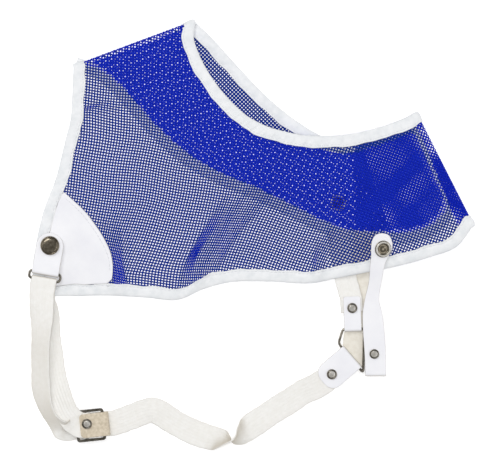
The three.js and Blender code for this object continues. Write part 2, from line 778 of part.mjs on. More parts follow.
// Leather patch, laid on the front panel from the tape's inner line to its own curved edge
const frontSpans = FRONT_SECTIONS.length - 1;
const patchStations = stationsOf(
  FRONT_SECTIONS,
  PATCH_ROWS.first / frontSpans,
  PATCH_ROWS.last / frontSpans,
  PATCH_STEPS,
  true,
);
const patchEdge = new THREE.SplineCurve(PATCH_EDGE.map((r) => new THREE.Vector2(r.x, r.y))).getPoints(60);
const patchSections = patchStations.map((station, i) => {
  const reach = reachTo(patchEdge, station);
  const start = Math.min(tapeDepth(patchStations, i, "out") + 5 * GAP, reach - 1.5);
  const heights = [MESH_THICK / 2 + 2 * GAP, MESH_THICK / 2 + 2 * GAP + LEATHER_THICK];
  const line = (height) => {
    const points = [];
    for (let k = 0; k <= PATCH_COLUMNS; k++) {
      const distance = lengthOf(station) - THREE.MathUtils.lerp(start, reach, k / PATCH_COLUMNS);
      points.push(clothPoint(station, distance).addScaledVector(UP, height));
    }
    return points;
  };
  return [...line(heights[1]), ...line(heights[0]).reverse()];
});
const patchCaps = [];
for (let k = 0; k < PATCH_COLUMNS; k++) {
  patchCaps.push([k, k + 1, 2 * PATCH_COLUMNS - k, 2 * PATCH_COLUMNS + 1 - k]);
}
addPiece("corner_patch", loft(patchSections, patchCaps), materials.leather);

// Left ring with its snap tab; the ring's upper bar is the origin of their group
const leftRingCorners = [
  new THREE.Vector2(0, -LEFT_RING.length / 2),
  new THREE.Vector2(LEFT_RING.depth, -LEFT_RING.length / 2),
  new THREE.Vector2(LEFT_RING.depth, LEFT_RING.length / 2),
  new THREE.Vector2(0, LEFT_RING.length / 2),
];
const leftRing = addPiece("left_ring", wireRing(leftRingCorners, 0), materials.nickel);

const loopBend = { s: 0, z: 0, radius: WIRE_RADIUS + LOOP_GAP + LEATHER_THICK / 2 };
const snapTabGroup = new THREE.Group();
snapTabGroup.position.set(LEFT_RING.x, LEFT_RING.y, LEFT_RING.z);
snapTabGroup.rotation.z = radians(LEFT_RING.turn);
const snapTab = addPiece(
  "snap_tab",
  foldedTab({
    length: SNAP_TAB.length,
    width: SNAP_TAB.width,
    endRadius: 10.4,
    back: 29,
    topZ: SNAP_TAB_TOP_Z,
    backZ: -0.4,
    bend: loopBend,
    rivetAt: SNAP_TAB.snapAt,
  }),
  materials.leather,
);
const tabSnap = addPiece("tab_snap", rivet(SNAP_RADIUS, 2.4, 3.0), materials.nickel);
tabSnap.position.set(-SNAP_TAB.snapAt, 0, SNAP_TAB_TOP_Z + LEATHER_THICK / 2 + GAP);
snapTabGroup.add(leftRing, snapTab, tabSnap);
guard.add(snapTabGroup);

// Elastic strap, drilled for the shanks at both ends
const slideGroup = new THREE.Group();
slideGroup.position.set(SLIDE.x, SLIDE.y, SLIDE.z);
slideGroup.rotation.z = radians(SLIDE.turn);

const strapEndGroup = new THREE.Group();
strapEndGroup.position.set(STRAP_END.x, STRAP_END.y, RING_Z);
strapEndGroup.rotation.z = radians(STRAP_END.turn);
strapEndGroup.updateMatrix();
const strapRivetPlace = new THREE.Vector3(-STRAP_END_RIVET_AT, 0, 0).applyMatrix4(strapEndGroup.matrix);

const strapBand = toSolid(bandSolid(STRAP_ROUTE, STRAP_WIDTH, STRAP_THICK, STRAP_STEPS));
const strapDrilled = strapBand.subtract(drill(strapRivetPlace.x, strapRivetPlace.y));
addPiece("elastic_strap", toGeometry(strapDrilled), materials.elastic);

// Slide buckle: frame with a middle bar
function roundedBox(halfX, halfY, radius, centreX = 0) {
  const corners = [
    [halfX, halfY],
    [-halfX, halfY],
    [-halfX, -halfY],
    [halfX, -halfY],
  ];
  const points = [];
  corners.forEach(([x, y], i) => {
    for (let k = 0; k <= 3; k++) {
      const angle = (Math.PI / 2) * (i + k / 3);
      const pointX = centreX + x + radius * (Math.cos(angle) - Math.sign(x));
      const pointY = y + radius * (Math.sin(angle) - Math.sign(y));
      points.push(new THREE.Vector2(pointX, pointY));
    }
  });
  return points;
}
const frameShape = new THREE.Shape(roundedBox(SLIDE.length / 2, SLIDE.width / 2, 2.4));
const slotHalfY = SLIDE.width / 2 - SLIDE.bar;
const slotEnds = [-SLIDE.length / 2 + SLIDE.bar, SLIDE.midBar - SLIDE.bar / 2];
const farSlotEnds = [SLIDE.midBar + SLIDE.bar / 2, SLIDE.length / 2 - SLIDE.bar];
for (const [low, high] of [slotEnds, farSlotEnds]) {
  frameShape.holes.push(new THREE.Path(roundedBox((high - low) / 2, slotHalfY, 0.8, (low + high) / 2)));
}
const slideFrame = new THREE.ExtrudeGeometry(frameShape, { depth: SLIDE_THICK, bevelEnabled: false });
const slide = addPiece("slide_buckle", slideFrame.translate(0, 0, -SLIDE_THICK / 2), materials.nickel);

// Leather tab round the slide's right bar, flesh side up, with its rivet
const SLIDE_BAR_S = SLIDE.length / 2 - SLIDE.bar / 2;
const slideTab = addPiece(
  "slide_tab",
  foldedTab({
    length: 18.6,
    width: 19,
    endRadius: 3,
    back: 7,
    topZ: SLIDE_TAB_TOP_Z,
    backZ: -1.7,
    bend: { s: 1.0, z: 1.5, radius: 3.2 },
    rivetAt: SLIDE_BAR_S - SLIDE_RIVET.s,
    rivetSide: SLIDE_RIVET.side,
  }),
  materials.suede,
);
slideTab.position.x = SLIDE_BAR_S;
const slideRivet = addPiece("slide_rivet", rivet(RIVET_RADIUS, 1.4, LEATHER_THICK + GAP), materials.nickel);
slideRivet.position.set(SLIDE_RIVET.s, SLIDE_RIVET.side, SLIDE_TAB_TOP_Z + LEATHER_THICK / 2 + GAP);
slideGroup.add(slide, slideTab, slideRivet);
guard.add(slideGroup);

// Side ring
const sideRingCorners = SIDE_RING_CORNERS.map((c) => new THREE.Vector2(c.x, c.y));
addPiece("side_ring", wireRing(sideRingCorners, RING_Z), materials.nickel);

// Strap end tab round the slanted bar of the side ring
const tabSeat = TOP_LAYER_Z - RING_Z;
const strapEndTab = addPiece(
  "strap_end_tab",
  foldedTab({
    length: 29,
    width: 22.4,
    endRadius: 8.5,
    back: 24,
    topZ: tabSeat,
    backZ: -tabSeat,
    bend: loopBend,
    rivetAt: STRAP_END_RIVET_AT,
  }),
  materials.leather,
);
const tabShank = 2 * tabSeat + LEATHER_THICK + GAP;
const strapEndRivet = addPiece("strap_end_rivet", rivet(RIVET_RADIUS, 1.4, tabShank), materials.nickel);
strapEndRivet.position.set(-STRAP_END_RIVET_AT, 0, tabSeat + LEATHER_THICK / 2 + GAP);
strapEndGroup.add(strapEndTab, strapEndRivet);
guard.add(strapEndGroup);

// Side tab round the upper bar of the side ring, with the end of the side elastic between its layers
const sideTabGroup = new THREE.Group();
sideTabGroup.position.set(SIDE_TAB.x, SIDE_RING_CORNERS[2].y, RING_Z);
sideTabGroup.rotation.z = radians(SIDE_TAB.turn);
sideTabGroup.updateMatrix();
const sideRivetPlace = new THREE.Vector3(-SIDE_TAB_RIVET_AT, 0, 0).applyMatrix4(sideTabGroup.matrix);
const sideTab = addPiece(
  "side_tab",
  foldedTab({
    length: 25.6,
    width: 13.8,
    endRadius: 1.2,
    back: 20.5,
    topZ: tabSeat,
    backZ: -tabSeat,
    bend: loopBend,
    rivetAt: SIDE_TAB_RIVET_AT,
  }),
  materials.leather,
);
const sideRivet = addPiece("side_tab_rivet", rivet(RIVET_RADIUS, 1.4, tabShank), materials.nickel);
sideRivet.position.set(-SIDE_TAB_RIVET_AT, 0, tabSeat + LEATHER_THICK / 2 + GAP);
sideTabGroup.add(sideTab, sideRivet);
guard.add(sideTabGroup);

const sideElastic = toSolid(bandSolid(SIDE_ELASTIC_ROUTE, SIDE_ELASTIC_WIDTH, STRAP_THICK, 16));
addPiece(
  "side_elastic",
  toGeometry(sideElastic.subtract(drill(sideRivetPlace.x, sideRivetPlace.y))),
  materials.elastic,
);
addPiece("keeper_strip", bandSolid(KEEPER_ROUTE, KEEPER_WIDTH, LEATHER_THICK, 14), materials.suede);

// Snap strap: drapes from the panel to a folded lower end; s runs down the strap, away from the head
const drape = new THREE.SplineCurve(SNAP_STRAP_DRAPE.map((r) => new THREE.Vector2(-r.y, r.z)));
const snapStrapBend = { s: -SNAP_STRAP_FOLD_Y, z: RING_Z, radius: tabSeat };
const snapStrapReturn = [
  new THREE.Vector2(snapStrapBend.s - 8, LOW_LAYER_Z),
  new THREE.Vector2(snapStrapBend.s - 28, LOW_LAYER_Z),
];
const snapStrapLine = foldLine(drape.getPoints(16), snapStrapReturn, snapStrapBend);
const snapStrapOutline = [
  ...SNAP_STRAP_PLAN.map((r) => new THREE.Vector2(-r.y, r.right - SNAP_STRAP_X)),
  ...SNAP_STRAP_PLAN.map((r) => new THREE.Vector2(-r.y, r.left - SNAP_STRAP_X)).reverse(),
];
const snapStrapHoles = [SNAP_CENTRE, SNAP_STRAP_RIVET].map((place) => {
  return drill(-place.y, place.x - SNAP_STRAP_X);
});
const snapStrapSolid = extrudedStrip(snapStrapLine, 40)
  .intersect(planPrism(snapStrapOutline))
  .subtract(snapStrapHoles[0])
  .subtract(snapStrapHoles[1]);
const snapStrap = addPiece("snap_strap", toGeometry(snapStrapSolid), materials.leather);
snapStrap.position.x = SNAP_STRAP_X;
snapStrap.rotation.z = radians(-90);

const strapRivet = addPiece("snap_strap_rivet", rivet(RIVET_RADIUS - 0.2, 1.4, tabShank), materials.nickel);
strapRivet.position.set(SNAP_STRAP_RIVET.x, SNAP_STRAP_RIVET.y, TOP_LAYER_Z + LEATHER_THICK / 2 + GAP);

// Snap ring in the strap's head, over the stud that sits on the panel
const snapRing = addPiece(
  "snap_ring",
  turned([
    [0, -1.0],
    [SHANK_RADIUS, -1.0],
    [SHANK_RADIUS, 0],
    [SNAP_RING_RADIUS - 0.4, 0],
    [SNAP_RING_RADIUS, 0.6],
    [SNAP_RING_RADIUS - 0.5, 1.4],
    [SNAP_RING_RADIUS - 1.6, 1.5],
    [SNAP_RING_RADIUS - 2.4, 0.6],
    [0, 0.5],
  ]),
  materials.nickel,
);
snapRing.position.set(SNAP_CENTRE.x, SNAP_CENTRE.y, 13.9 + LEATHER_THICK / 2 + 2 * GAP);

const stud = addPiece(
  "panel_stud",
  turned([
    [0, 0],
    [5.6, 0],
    [6.0, 0.4],
    [5.6, 1.0],
    [3.0, 1.2],
    [0, 1.2],
  ]),
  materials.nickel,
);
stud.position.set(STUD_CENTRE.x, STUD_CENTRE.y, frontHeight(STUD_CENTRE.x, STUD_CENTRE.y) + STUD_LIFT);

// Side snap on the back band, below the front mesh
const sideSnapSeat = BACK_SECTIONS[0].armZ + MESH_THICK / 2 + GAP + 0.1;
const sideSnap = addPiece("side_snap", rivet(6.2, 1.6, 0.05), materials.nickel);
sideSnap.position.set(SIDE_SNAP_CENTRE.x, SIDE_SNAP_CENTRE.y, sideSnapSeat);

export default guard;
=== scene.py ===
"""Looks of a mesh chest guard that lies flat on a pale table, seen from straight above."""

import math

import bpy
import numpy as np
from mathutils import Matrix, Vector
from mathutils.bvhtree import BVHTree


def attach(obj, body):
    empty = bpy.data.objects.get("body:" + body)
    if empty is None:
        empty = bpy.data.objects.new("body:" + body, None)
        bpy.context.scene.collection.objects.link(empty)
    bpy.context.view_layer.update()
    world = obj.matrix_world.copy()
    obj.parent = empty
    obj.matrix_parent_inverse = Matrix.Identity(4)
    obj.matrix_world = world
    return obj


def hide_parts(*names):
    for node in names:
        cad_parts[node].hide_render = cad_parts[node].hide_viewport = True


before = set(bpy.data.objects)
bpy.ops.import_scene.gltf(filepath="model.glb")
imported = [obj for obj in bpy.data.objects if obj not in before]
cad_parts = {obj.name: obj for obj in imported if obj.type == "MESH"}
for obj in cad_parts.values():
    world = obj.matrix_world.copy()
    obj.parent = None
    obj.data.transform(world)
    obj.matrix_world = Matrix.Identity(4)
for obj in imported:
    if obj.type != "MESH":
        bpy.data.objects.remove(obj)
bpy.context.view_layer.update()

# Layout of the guard in millimetres; the row frame is the layout minus this centre, in metres
LAYOUT_CENTRE = np.array([1.2, -1.8, 0.0])
UP = np.array([0.0, 0.0, 1.0])

# Cloth
NET_PITCH = 2.2
NET_THREAD_WIDTH = 1.15
BACK_THREAD_WIDTH = 1.27
UNDER_SPREAD = 0.1  # how much wider the threads under another net are
NET_THREAD_THICK = 0.5
NET_WAVE = 0.24
NET_INSET = 2.2  # how far inside the tape's outer edge the net ends
LOWEST_CLOTH_Z = 1.8
TAPE_WIDTH = 9.5
STITCH_LENGTH = 2.3
STITCH_GAP = 0.9
STITCH_RADIUS = 0.2
STITCH_LIFT = 0.16
PATCH_THICK = 1.2
PATCH_LIFT = 1.1
PATCH_STITCH_INSET = 3.2
PATCH_UNDER_TAPE = 0.2  # how far the patch reaches under the tape
LEAST_SLANT = 0.55  # least sine of the angle between an edge and the lines across its cloth
RAY_HEIGHT = 100.0  # from which points are dropped onto a cloth

# How finely things are divided
FRONT_STEPS = 321
BACK_STEPS = 181
SEAM_STEPS = (121, 71)
END_PANEL_STEPS = 61
PATCH_STEPS = 90
FRONT_COLUMNS = 60
BACK_COLUMNS = 20
HEAD_SIDES = 48
WIRE_SIDES = 14
STITCH_SIDES = 6

# Leather, elastic and metal
LEATHER_THICK = 1.2
STRAP_WIDTH = 20.0
STRAP_THICK = 1.2
SIDE_ELASTIC_WIDTH = 17.5
KEEPER_WIDTH = 16.0
WIRE_RADIUS = 1.0
EDGE_ROUND = 0.42  # rounding of a strip's edges as a share of its thickness
LOOP_RADIUS = 2.05  # from a ring's wire to the middle of the leather folded round it
RING_Z = 4.0
TOP_LAYER_Z = 5.9
LOW_LAYER_Z = 2.1
RIVET_RADIUS = 4.1
SNAP_RADIUS = 7.6
SNAP_RING_RADIUS = 6.8


def table(columns, rows):
    return [dict(zip(columns, row)) for row in rows]


def picked(rows, *keys):
    """Columns of a table as an array."""
    return np.array([[row[key] for key in keys] for row in rows], float)


SIDES = ("arm", "out")  # a cloth's edge at the arm hole and its outer edge
SECTION_COLUMNS = ["arm_x", "arm_y", "arm_z", "out_x", "out_y", "out_z", "crown"]

# Front panel, from the shoulder fold to the underarm fold
FRONT_SECTIONS = table(SECTION_COLUMNS, [
    [-43.3, 167.2, 6.0, -140.9, 130.8, 6.0, 0],
    [-44.8, 155.2, 7.0, -142.0, 108.8, 4.5, 3],
    [-40.8, 142.4, 8.5, -143.2, 91.2, 3.0, 3],
    [-34.4, 129.6, 10.0, -148.0, 72.0, 2.2, 3],
    [-26.4, 117.6, 11.5, -155.2, 43.2, 1.8, 2],
    [-17.6, 106.8, 12.5, -165.2, 16.0, 1.8, 1.5],
    [-8.8, 98.0, 12.8, -171.2, -10.4, 1.8, 1],
    [-0.8, 91.6, 13.0, -173.6, -34.4, 1.8, 1],
    [4.8, 88.4, 13.0, -166.4, -49.0, 1.8, 1],
    [10.4, 85.6, 13.0, -144.0, -51.2, 1.8, 1],
    [17.6, 82.8, 13.0, -116.0, -50.8, 1.8, 1],
    [26.4, 80.4, 13.0, -84.0, -52.4, 1.8, 1.5],
    [35.2, 78.4, 13.0, -57.6, -54.2, 1.8, 1.5],
    [44.0, 77.2, 12.8, -36.8, -45.6, 2.2, 1.5],
    [53.6, 76.6, 12.6, -14.4, -40.0, 3.0, 2],
    [64.0, 76.6, 12.4, 16.0, -39.6, 4.2, 3],
    [74.4, 77.4, 12.2, 48.0, -41.0, 5.4, 4],
    [85.6, 79.2, 12.0, 70.4, -36.8, 6.2, 5],
    [96.8, 81.8, 11.8, 92.8, -32.4, 6.4, 5],
    [108.0, 85.0, 11.4, 120.0, -26.8, 7.2, 5],
    [118.4, 88.8, 11.0, 144.0, -20.0, 8.2, 5],
    [126.4, 92.4, 10.6, 164.4, -12.0, 9.2, 3],
    [130.6, 95.0, 10.2, 177.0, 3.6, 10.2, 0],
])

# Back band, the lowest layer, from the shoulder fold to its own rounded end, all at one level
BACK_LEVEL = {"arm_z": LOWEST_CLOTH_Z, "out_z": LOWEST_CLOTH_Z, "crown": 0}
BACK_ROWS = [
    [-43.3, 167.2, -140.9, 130.8],
    [-34.4, 159.2, -129.6, 127.2],
    [-22.4, 146.4, -112.0, 113.6],
    [-9.6, 132.0, -92.8, 91.6],
    [1.6, 120.0, -72.0, 69.6],
    [12.8, 108.8, -48.0, 50.4],
    [24.8, 98.0, -22.4, 36.8],
    [38.4, 88.0, 4.8, 25.6],
    [52.0, 79.2, 32.0, 12.0],
    [66.0, 73.4, 57.6, -0.4],
    [80.8, 72.2, 81.6, -8.0],
    [96.0, 77.0, 105.6, -9.2],
    [108.8, 81.6, 129.6, -8.8],
    [118.4, 85.6, 148.8, -1.6],
    [126.4, 88.0, 160.4, 10.4],
    [132.4, 90.0, 164.0, 24.0],
]
BACK_SECTIONS = [row | BACK_LEVEL for row in table(["arm_x", "arm_y", "out_x", "out_y"], BACK_ROWS)]
BACK_START = 0.06  # row at which the band starts, just past the fold
FRONT_END = len(FRONT_SECTIONS) - 1
BACK_END = len(BACK_SECTIONS) - 1

# Net panel on the band's end: the rows that it covers, its height, its distance from the lower tape
END_PANEL = {"rows": (10.1, 14.2), "z": 4.4, "margin": 2.0}
END_PANEL_INSET = 1.4

# The band's own net is of two pieces: rows at which the first one ends at its two sides, row at
# which the second one starts, and how much higher the second one lies
BAND_SEAM = {"arm": 10.5, "out": 11.4, "second": 10.1, "lift": 0.55}

# Front cloth turned under at the underarm: its height, and how far it reaches at its two ends
UNDERARM_HEM = {"z": 5.8, "arm": 2.4, "out": 10.0}

FRONT_CREASES = table(["from_x", "from_y", "to_x", "to_y", "height", "width"], [
    [-50.0, -50.0, -4.0, 32.0, 3.6, 7.0],
    [55.0, -32.0, 61.0, 0.0, 2.0, 4.5],
    [-106.0, -42.0, -92.0, -6.0, 2.4, 6.0],
    [-132.0, 96.0, -108.0, 102.0, 1.6, 5.0],
])

# Turn of the front's threads in degrees, along its middle cross thread: that thread's own turn,
# and the turn of the threads across it at the top, in the middle and at the bottom of the panel
FRONT_GRAIN = table(["at", "weft", "warp_top", "warp_middle", "warp_low"], [
    [0, -6, 1, -8, -13],
    [60, -8, 0, -8, -14],
    [120, -9, -1, -10, -15],
    [175, -9, -5, -13, -14],
    [210, -9, -9, -16, -16],
    [240, -13, -13, -18, -19],
    [290, -18, -17, -20, -22],
    [340, -19, -19, -20, -21],
    [520, -19, -19, -20, -20],
])
FRONT_GRAIN_START = np.array([-204.0, 59.0])
FRONT_GRAIN_TOP = 90.0  # how far from the middle thread the outer turns are reached
FRONT_GRAIN_LOW = 75.0
FRONT_GRAIN_LENGTH = 500.0
FRONT_GRAIN_REACH = 165.0
FRONT_SWAY = ([(70, 0.5), (43, 0.3)], [(83, 0.5), (51, 0.3)])

# Gathers of the front's threads along creases. Walking from the first point to the second, the
# threads are pulled to the left: closely over the dense width, a little over the loose width,
# and back to their own places over the rest. The line itself sways by bow.
GATHER_COLUMNS = [
    "from_x", "from_y", "to_x", "to_y", "bow", "dense", "dense_share", "loose", "loose_share", "rest",
]
FRONT_GATHERS = table(GATHER_COLUMNS, [
    [-47.0, -48.0, -1.0, 37.0, 4.0, 11.0, 0.46, 24.0, 0.27, 100.0],
    [53.6, -36.0, 60.8, 2.0, 1.0, 5.0, 0.4, 9.0, 0.25, 45.0],
    [-86.0, -58.0, -105.0, 22.0, 0.0, 19.0, 0.42, 8.0, 0.05, 60.0],
    [-138.0, 92.0, -104.0, 103.0, 0.8, 5.0, 0.4, 6.0, 0.15, 45.0],
])
DENSE_TAPER = ([-0.1, 0.1, 0.3, 0.5, 0.95], [0.3, 0.55, 1.0, 0.8, 0.0])
LOOSE_TAPER = ([-0.3, 0.0, 0.7, 1.2], [0.8, 1.0, 0.9, 0.0])
BACK_GRAIN = {"turn": 45.0, "centre": (20.0, 70.0), "reach": 230}
END_GRID_SHIFT = 0.64  # the nets at the band's end run with the front's, a little to its side
BAND_GRID_SHIFT = 0.15
END_GRID_SWAY = [(47.0, 0.2), (29.0, 0.13)]
CLOSED_NET = (0.5, 0.78)  # shares of a lattice cell's area, from closed up to loosely gathered

# Leather patch: its curved edge in plan, and the rows of the front table that it covers
PATCH_EDGE = table(["x", "y"], [
    [-154.0, 36.0],
    [-146.9, 30.4],
    [-132.8, 17.6],
    [-124.8, 7.6],
    [-118.4, -1.8],
    [-112.8, -12.4],
    [-110.0, -22.0],
    [-109.6, -32.0],
    [-111.2, -42.0],
    [-114.0, -52.0],
])
PATCH_ROWS = (4.75, 9.72)

STRAP_COLUMNS = ["x", "y", "z", "lead", "tilt"]
STRAP_ROUTE = table(STRAP_COLUMNS, [
    [-122.4, -153.9, 7.2, -84, 0],
    [-129.6, -154.6, 7.2, -84, 0],
    [-138.2, -152.9, 7.4, -100, 4],
    [-145.4, -145.6, 9.8, -138, 22],
    [-150.4, -135.2, 7.6, -152, 26],
    [-155.2, -121.6, 4.2, -165, 15],
    [-159.2, -102.4, 1.7, -171, 3],
    [-161.6, -82.4, 1.0, -175, 0],
    [-163.2, -64.0, 2.0, -178, 0],
    [-165.6, -54.0, 5.4, -183, 0],
    [-165.2, -43.2, 6.0, -189.9, 0],
    [-164.3, -38.3, 5.8, -189.9, 0],
    [-164.1, -37.0, 6.3, -189.9, 0],
    [-164.0, -36.4, 7.7, -189.9, 0],
    [-164.1, -37.0, 9.1, -189.9, 0],
    [-164.3, -38.3, 9.6, -189.9, 0],
    [-165.3, -44.2, 9.6, -186, -4],
    [-166.2, -56.0, 9.2, -180, -12],
    [-166.0, -70.4, 8.2, -180, -28],
    [-167.2, -90.4, 7.9, -180, -42],
    [-167.2, -110.4, 7.8, -178, -41],
    [-166.4, -126.4, 8.0, -172, -42],
    [-163.0, -139.4, 9.0, -157, -52],
    [-157.2, -150.0, 9.5, -137, -58],
    [-150.8, -156.4, 7.8, -115, -42],
    [-145.8, -157.4, 3.2, -96, -12],
    [-141.4, -156.1, 0.8, -84, 0],
    [-137.0, -155.4, 0.8, -84, 0],
    [-134.7, -155.2, 3.6, -84, 0],
    [-132.8, -155.0, 5.8, -84, 0],
    [-129.6, -154.6, 5.8, -84, 0],
    [-127.4, -154.4, 3.4, -84, 0],
    [-125.2, -154.2, 0.9, -84, 0],
    [-116.0, -153.2, 0.6, -84, 0],
    [-107.2, -152.4, 0.6, -68, 0],
    [-95.2, -148.0, 0.6, -66, 0],
    [-84.8, -143.8, 1.4, -70, 0],
    [-76.8, -142.6, 3.0, -92, 0],
    [-68.8, -146.6, 1.4, -118, 0],
    [-59.2, -152.8, 0.6, -121, 0],
    [-48.8, -158.4, 0.6, -117, 0],
    [-37.6, -162.6, 1.0, -110, 4],
    [-28.0, -165.2, 4.6, -102, 22],
    [-20.8, -166.4, 9.4, -95, 62],
    [-14.4, -166.2, 10.8, 85, 85],
    [-8.0, -162.4, 8.2, 118, 46],
    [0.0, -156.0, 2.4, 126, 10],
    [12.8, -147.2, 0.8, 126, 0],
    [30.4, -136.0, 0.6, 124, 0],
    [42.0, -128.4, 0.8, 126, 0],
    [50.4, -124.6, 2.4, 129, 0],
    [58.2, -119.7, 4.0, 131, 0],
    [65.0, -113.8, 4.0, 131, 0],
    [73.0, -106.9, 4.0, 131, 0],
])
SIDE_ELASTIC_ROUTE = table(STRAP_COLUMNS, [
    [70.4, 1.2, 4.7, 168, 0],
    [72.0, -10.0, 4.7, 169, 0],
    [73.4, -20.0, 3.8, 170, 0],
    [75.6, -32.0, 3.0, 167, 0],
    [78.4, -44.0, 3.4, 166, 0],
    [80.4, -53.0, 4.0, 170, 0],
    [81.6, -64.0, 4.0, 176, 0],
])
KEEPER_ROUTE = table(STRAP_COLUMNS, [
    [91.2, 1.0, 4.7, 176, 0],
    [90.8, -8.5, 4.7, 175, 0],
    [90.3, -15.0, 2.6, 175, 0],
    [89.9, -21.0, 1.0, 175, 0],
    [89.4, -34.0, 0.6, 174, 0],
    [86.4, -60.0, 0.6, 172, 0],
    [82.6, -88.0, 0.6, 174, 0],
    [82.0, -108.0, 0.6, 180, 0],
])
SNAP_STRAP_PLAN = table(["y", "left", "right"], [
    [-1.0, 103.0, 106.0],
    [-2.4, 99.4, 110.2],
    [-6.4, 96.8, 113.0],
    [-13.0, 96.0, 113.8],
    [-19.0, 96.2, 111.0],
    [-26.0, 95.6, 107.6],
    [-40.0, 94.6, 105.0],
    [-54.0, 91.6, 103.0],
    [-64.0, 90.0, 105.4],
    [-78.0, 90.2, 107.2],
    [-96.0, 91.4, 108.4],
    [-117.0, 92.2, 108.8],
])
SNAP_STRAP_DRAPE = table(["y", "z"], [
    [-1.0, 16.2],
    [-13.4, 14.2],
    [-25.0, 12.3],
    [-36.0, 10.2],
    [-48.0, 7.4],
    [-62.0, 6.1],
    [-80.0, TOP_LAYER_Z],
])
SNAP_STRAP_FOLD_Y = -112.8
SNAP_STRAP_ROUND = 4.0  # length over which its head is rounded
SNAP_STRAP_FLAT = 82.0  # where it starts to lie flat
SNAP_STRAP_BACK = np.array([2.0, 8.0, 16.0, 28.0])  # its lower layer, back from the fold
SNAP_HEAD_ROLL = 16.0  # degrees, left edge up, fading out down the strap
SNAP_HEAD_PITCH = 9.0  # degrees, free end up
SNAP_HEAD_ROLL_END = -46.0
SNAP_CENTRE = np.array([105.6, -13.4, 14.7])
STUD_CENTRE = np.array([103.2, -13.0, 11.4])
SIDE_SNAP_CENTRE = np.array([70.4, 23.2, 2.7])
SNAP_STRAP_RIVET = np.array([99.2, -97.4, 6.8])

LEFT_RING = {"x": -163.2, "y": -32.0, "z": 7.7, "length": 25.0, "depth": 6.4, "turn": -99.9}
SIDE_RING_CORNERS = [[70.6, -89.0], [90.4, -112.6], [91.2, -77.1], [74.4, -77.1]]
RING_CORNER_RADIUS = 3.0
RING_CORNER_STEPS = 9
RING_SIDE_STEPS = 5

# Folded tabs: where the bar lies, which way the tab points, its sizes, and the bend's place and radius
RING_BEND = (0, 0, LOOP_RADIUS)
SLIDE_BEND = (1.0, 1.5, 3.2)
TAB_COLUMNS = [
    "node", "x", "y", "z", "turn", "length", "width", "end", "back", "top_z", "back_z",
    "bend", "slot",
]
TABS = table(TAB_COLUMNS, [
    ["snap_tab", -163.2, -32.0, 7.7, -99.9, 31.5, 21.5, 10.4, 29.0, 1.4, -0.4, RING_BEND, "leather"],
    ["strap_end_tab", 80.2, -100.8, 4.0, 40.7, 29.0, 22.4, 8.5, 24.0, 1.9, -1.9, RING_BEND, "leather"],
    ["side_tab", 82.2, -77.1, 4.0, -88.0, 25.6, 13.8, 1.6, 20.5, 1.9, -1.9, RING_BEND, "leather"],
    ["slide_tab", -117.06, -153.29, 4.0, 6.0, 18.6, 19.0, 3.0, 7.0, 4.7, -1.7, SLIDE_BEND, "suede"],
])

# Round heads: node, where it stands on its tab, and its size
RIVET_COLUMNS = ["node", "tab", "along", "side", "lift", "radius", "height", "finish"]
RIVETS = table(RIVET_COLUMNS, [
    # The snap cap's antique metal is painted dark reflection
    ["tab_snap", "snap_tab", 21.5, 0.0, 2.3, SNAP_RADIUS, 2.4, "antique"],
    ["strap_end_rivet", "strap_end_tab", 19.6, 0.0, 2.8, RIVET_RADIUS, 1.5, "nickel"],
    ["side_tab_rivet", "side_tab", 16.4, 0.0, 2.8, RIVET_RADIUS, 1.5, "nickel"],
    ["slide_rivet", "slide_tab", 12.9, 1.6, 5.6, RIVET_RADIUS, 1.5, "nickel"],
])


# Curves

def catmull(points, shares, spacing=0.5):
    """Catmull-Rom line through points, at shares of its spans; a spacing of 0 suits directions."""
    points = np.asarray(points, float)
    padded = np.vstack([2 * points[0] - points[1], points, 2 * points[-1] - points[-2]])
    at = np.asarray(shares, float) * (len(points) - 1)
    span = np.clip(np.floor(at).astype(int), 0, len(points) - 2)
    w = (at - span)[:, None]
    p0, p1, p2, p3 = (padded[span + k] for k in range(4))
    gaps = [np.linalg.norm(b - a, axis=1) ** spacing for a, b in ((p0, p1), (p1, p2), (p2, p3))]
    d0, d1, d2 = (np.maximum(gap, 1e-4)[:, None] for gap in gaps)
    slope1 = ((p1 - p0) / d0 - (p2 - p0) / (d0 + d1) + (p2 - p1) / d1) * d1
    slope2 = ((p2 - p1) / d1 - (p3 - p1) / (d1 + d2) + (p3 - p2) / d2) * d1
    return (
        p1 * (2 * w**3 - 3 * w**2 + 1)
        + slope1 * (w**3 - 2 * w**2 + w)
        + p2 * (3 * w**2 - 2 * w**3)
        + slope2 * (w**3 - w**2)
    )


def unit(vectors):
    return vectors / np.maximum(np.linalg.norm(vectors, axis=-1, keepdims=True), 1e-9)


def tangents(points):
    return unit(np.gradient(points, axis=0))


def arc_length(points):
    steps = np.linalg.norm(np.diff(points, axis=0), axis=1)
    return np.concatenate([[0.0], np.cumsum(steps)])


def along_line(points, known, at):
    """Points at lengths along a line whose own lengths are known."""
    return np.stack([np.interp(at, known, column) for column in points.T], axis=1)


def resample(points, step):
    """Points about a step apart along a line."""
    known = arc_length(points)
    count = max(2, int(round(known[-1] / step)) + 1)
    return along_line(points, known, np.linspace(0, known[-1], count))


def ripple(lengths, waves, seed):
    """Sum of sines along a length; waves are pairs of wavelength and height."""
    phases = np.random.default_rng(seed).uniform(0, 2 * math.pi, len(waves))
    total = np.zeros_like(lengths)
    for (wavelength, height), phase in zip(waves, phases):
        total += height * np.sin(2 * math.pi * lengths / wavelength + phase)
    return total


def turned(points, row):
    """Points (s, side, z) turned in plan by a row's turn and moved to its place."""
    a = math.radians(row["turn"])
    points = np.asarray(points, float)
    x = points[..., 0] * math.cos(a) - points[..., 1] * math.sin(a)
    y = points[..., 0] * math.sin(a) + points[..., 1] * math.cos(a)
    return np.stack([x, y, points[..., 2]], axis=-1) + np.array([row["x"], row["y"], row["z"]])


# Materials

MATERIALS = {}
MIDDLE_TONES = (0.3, 0.7)
EDGE_SLOPES = (0.2, 0.92)  # how level a face is where the edge colour ends and the face begins; the edge colour is painted shade, on leather also its raw cut edge
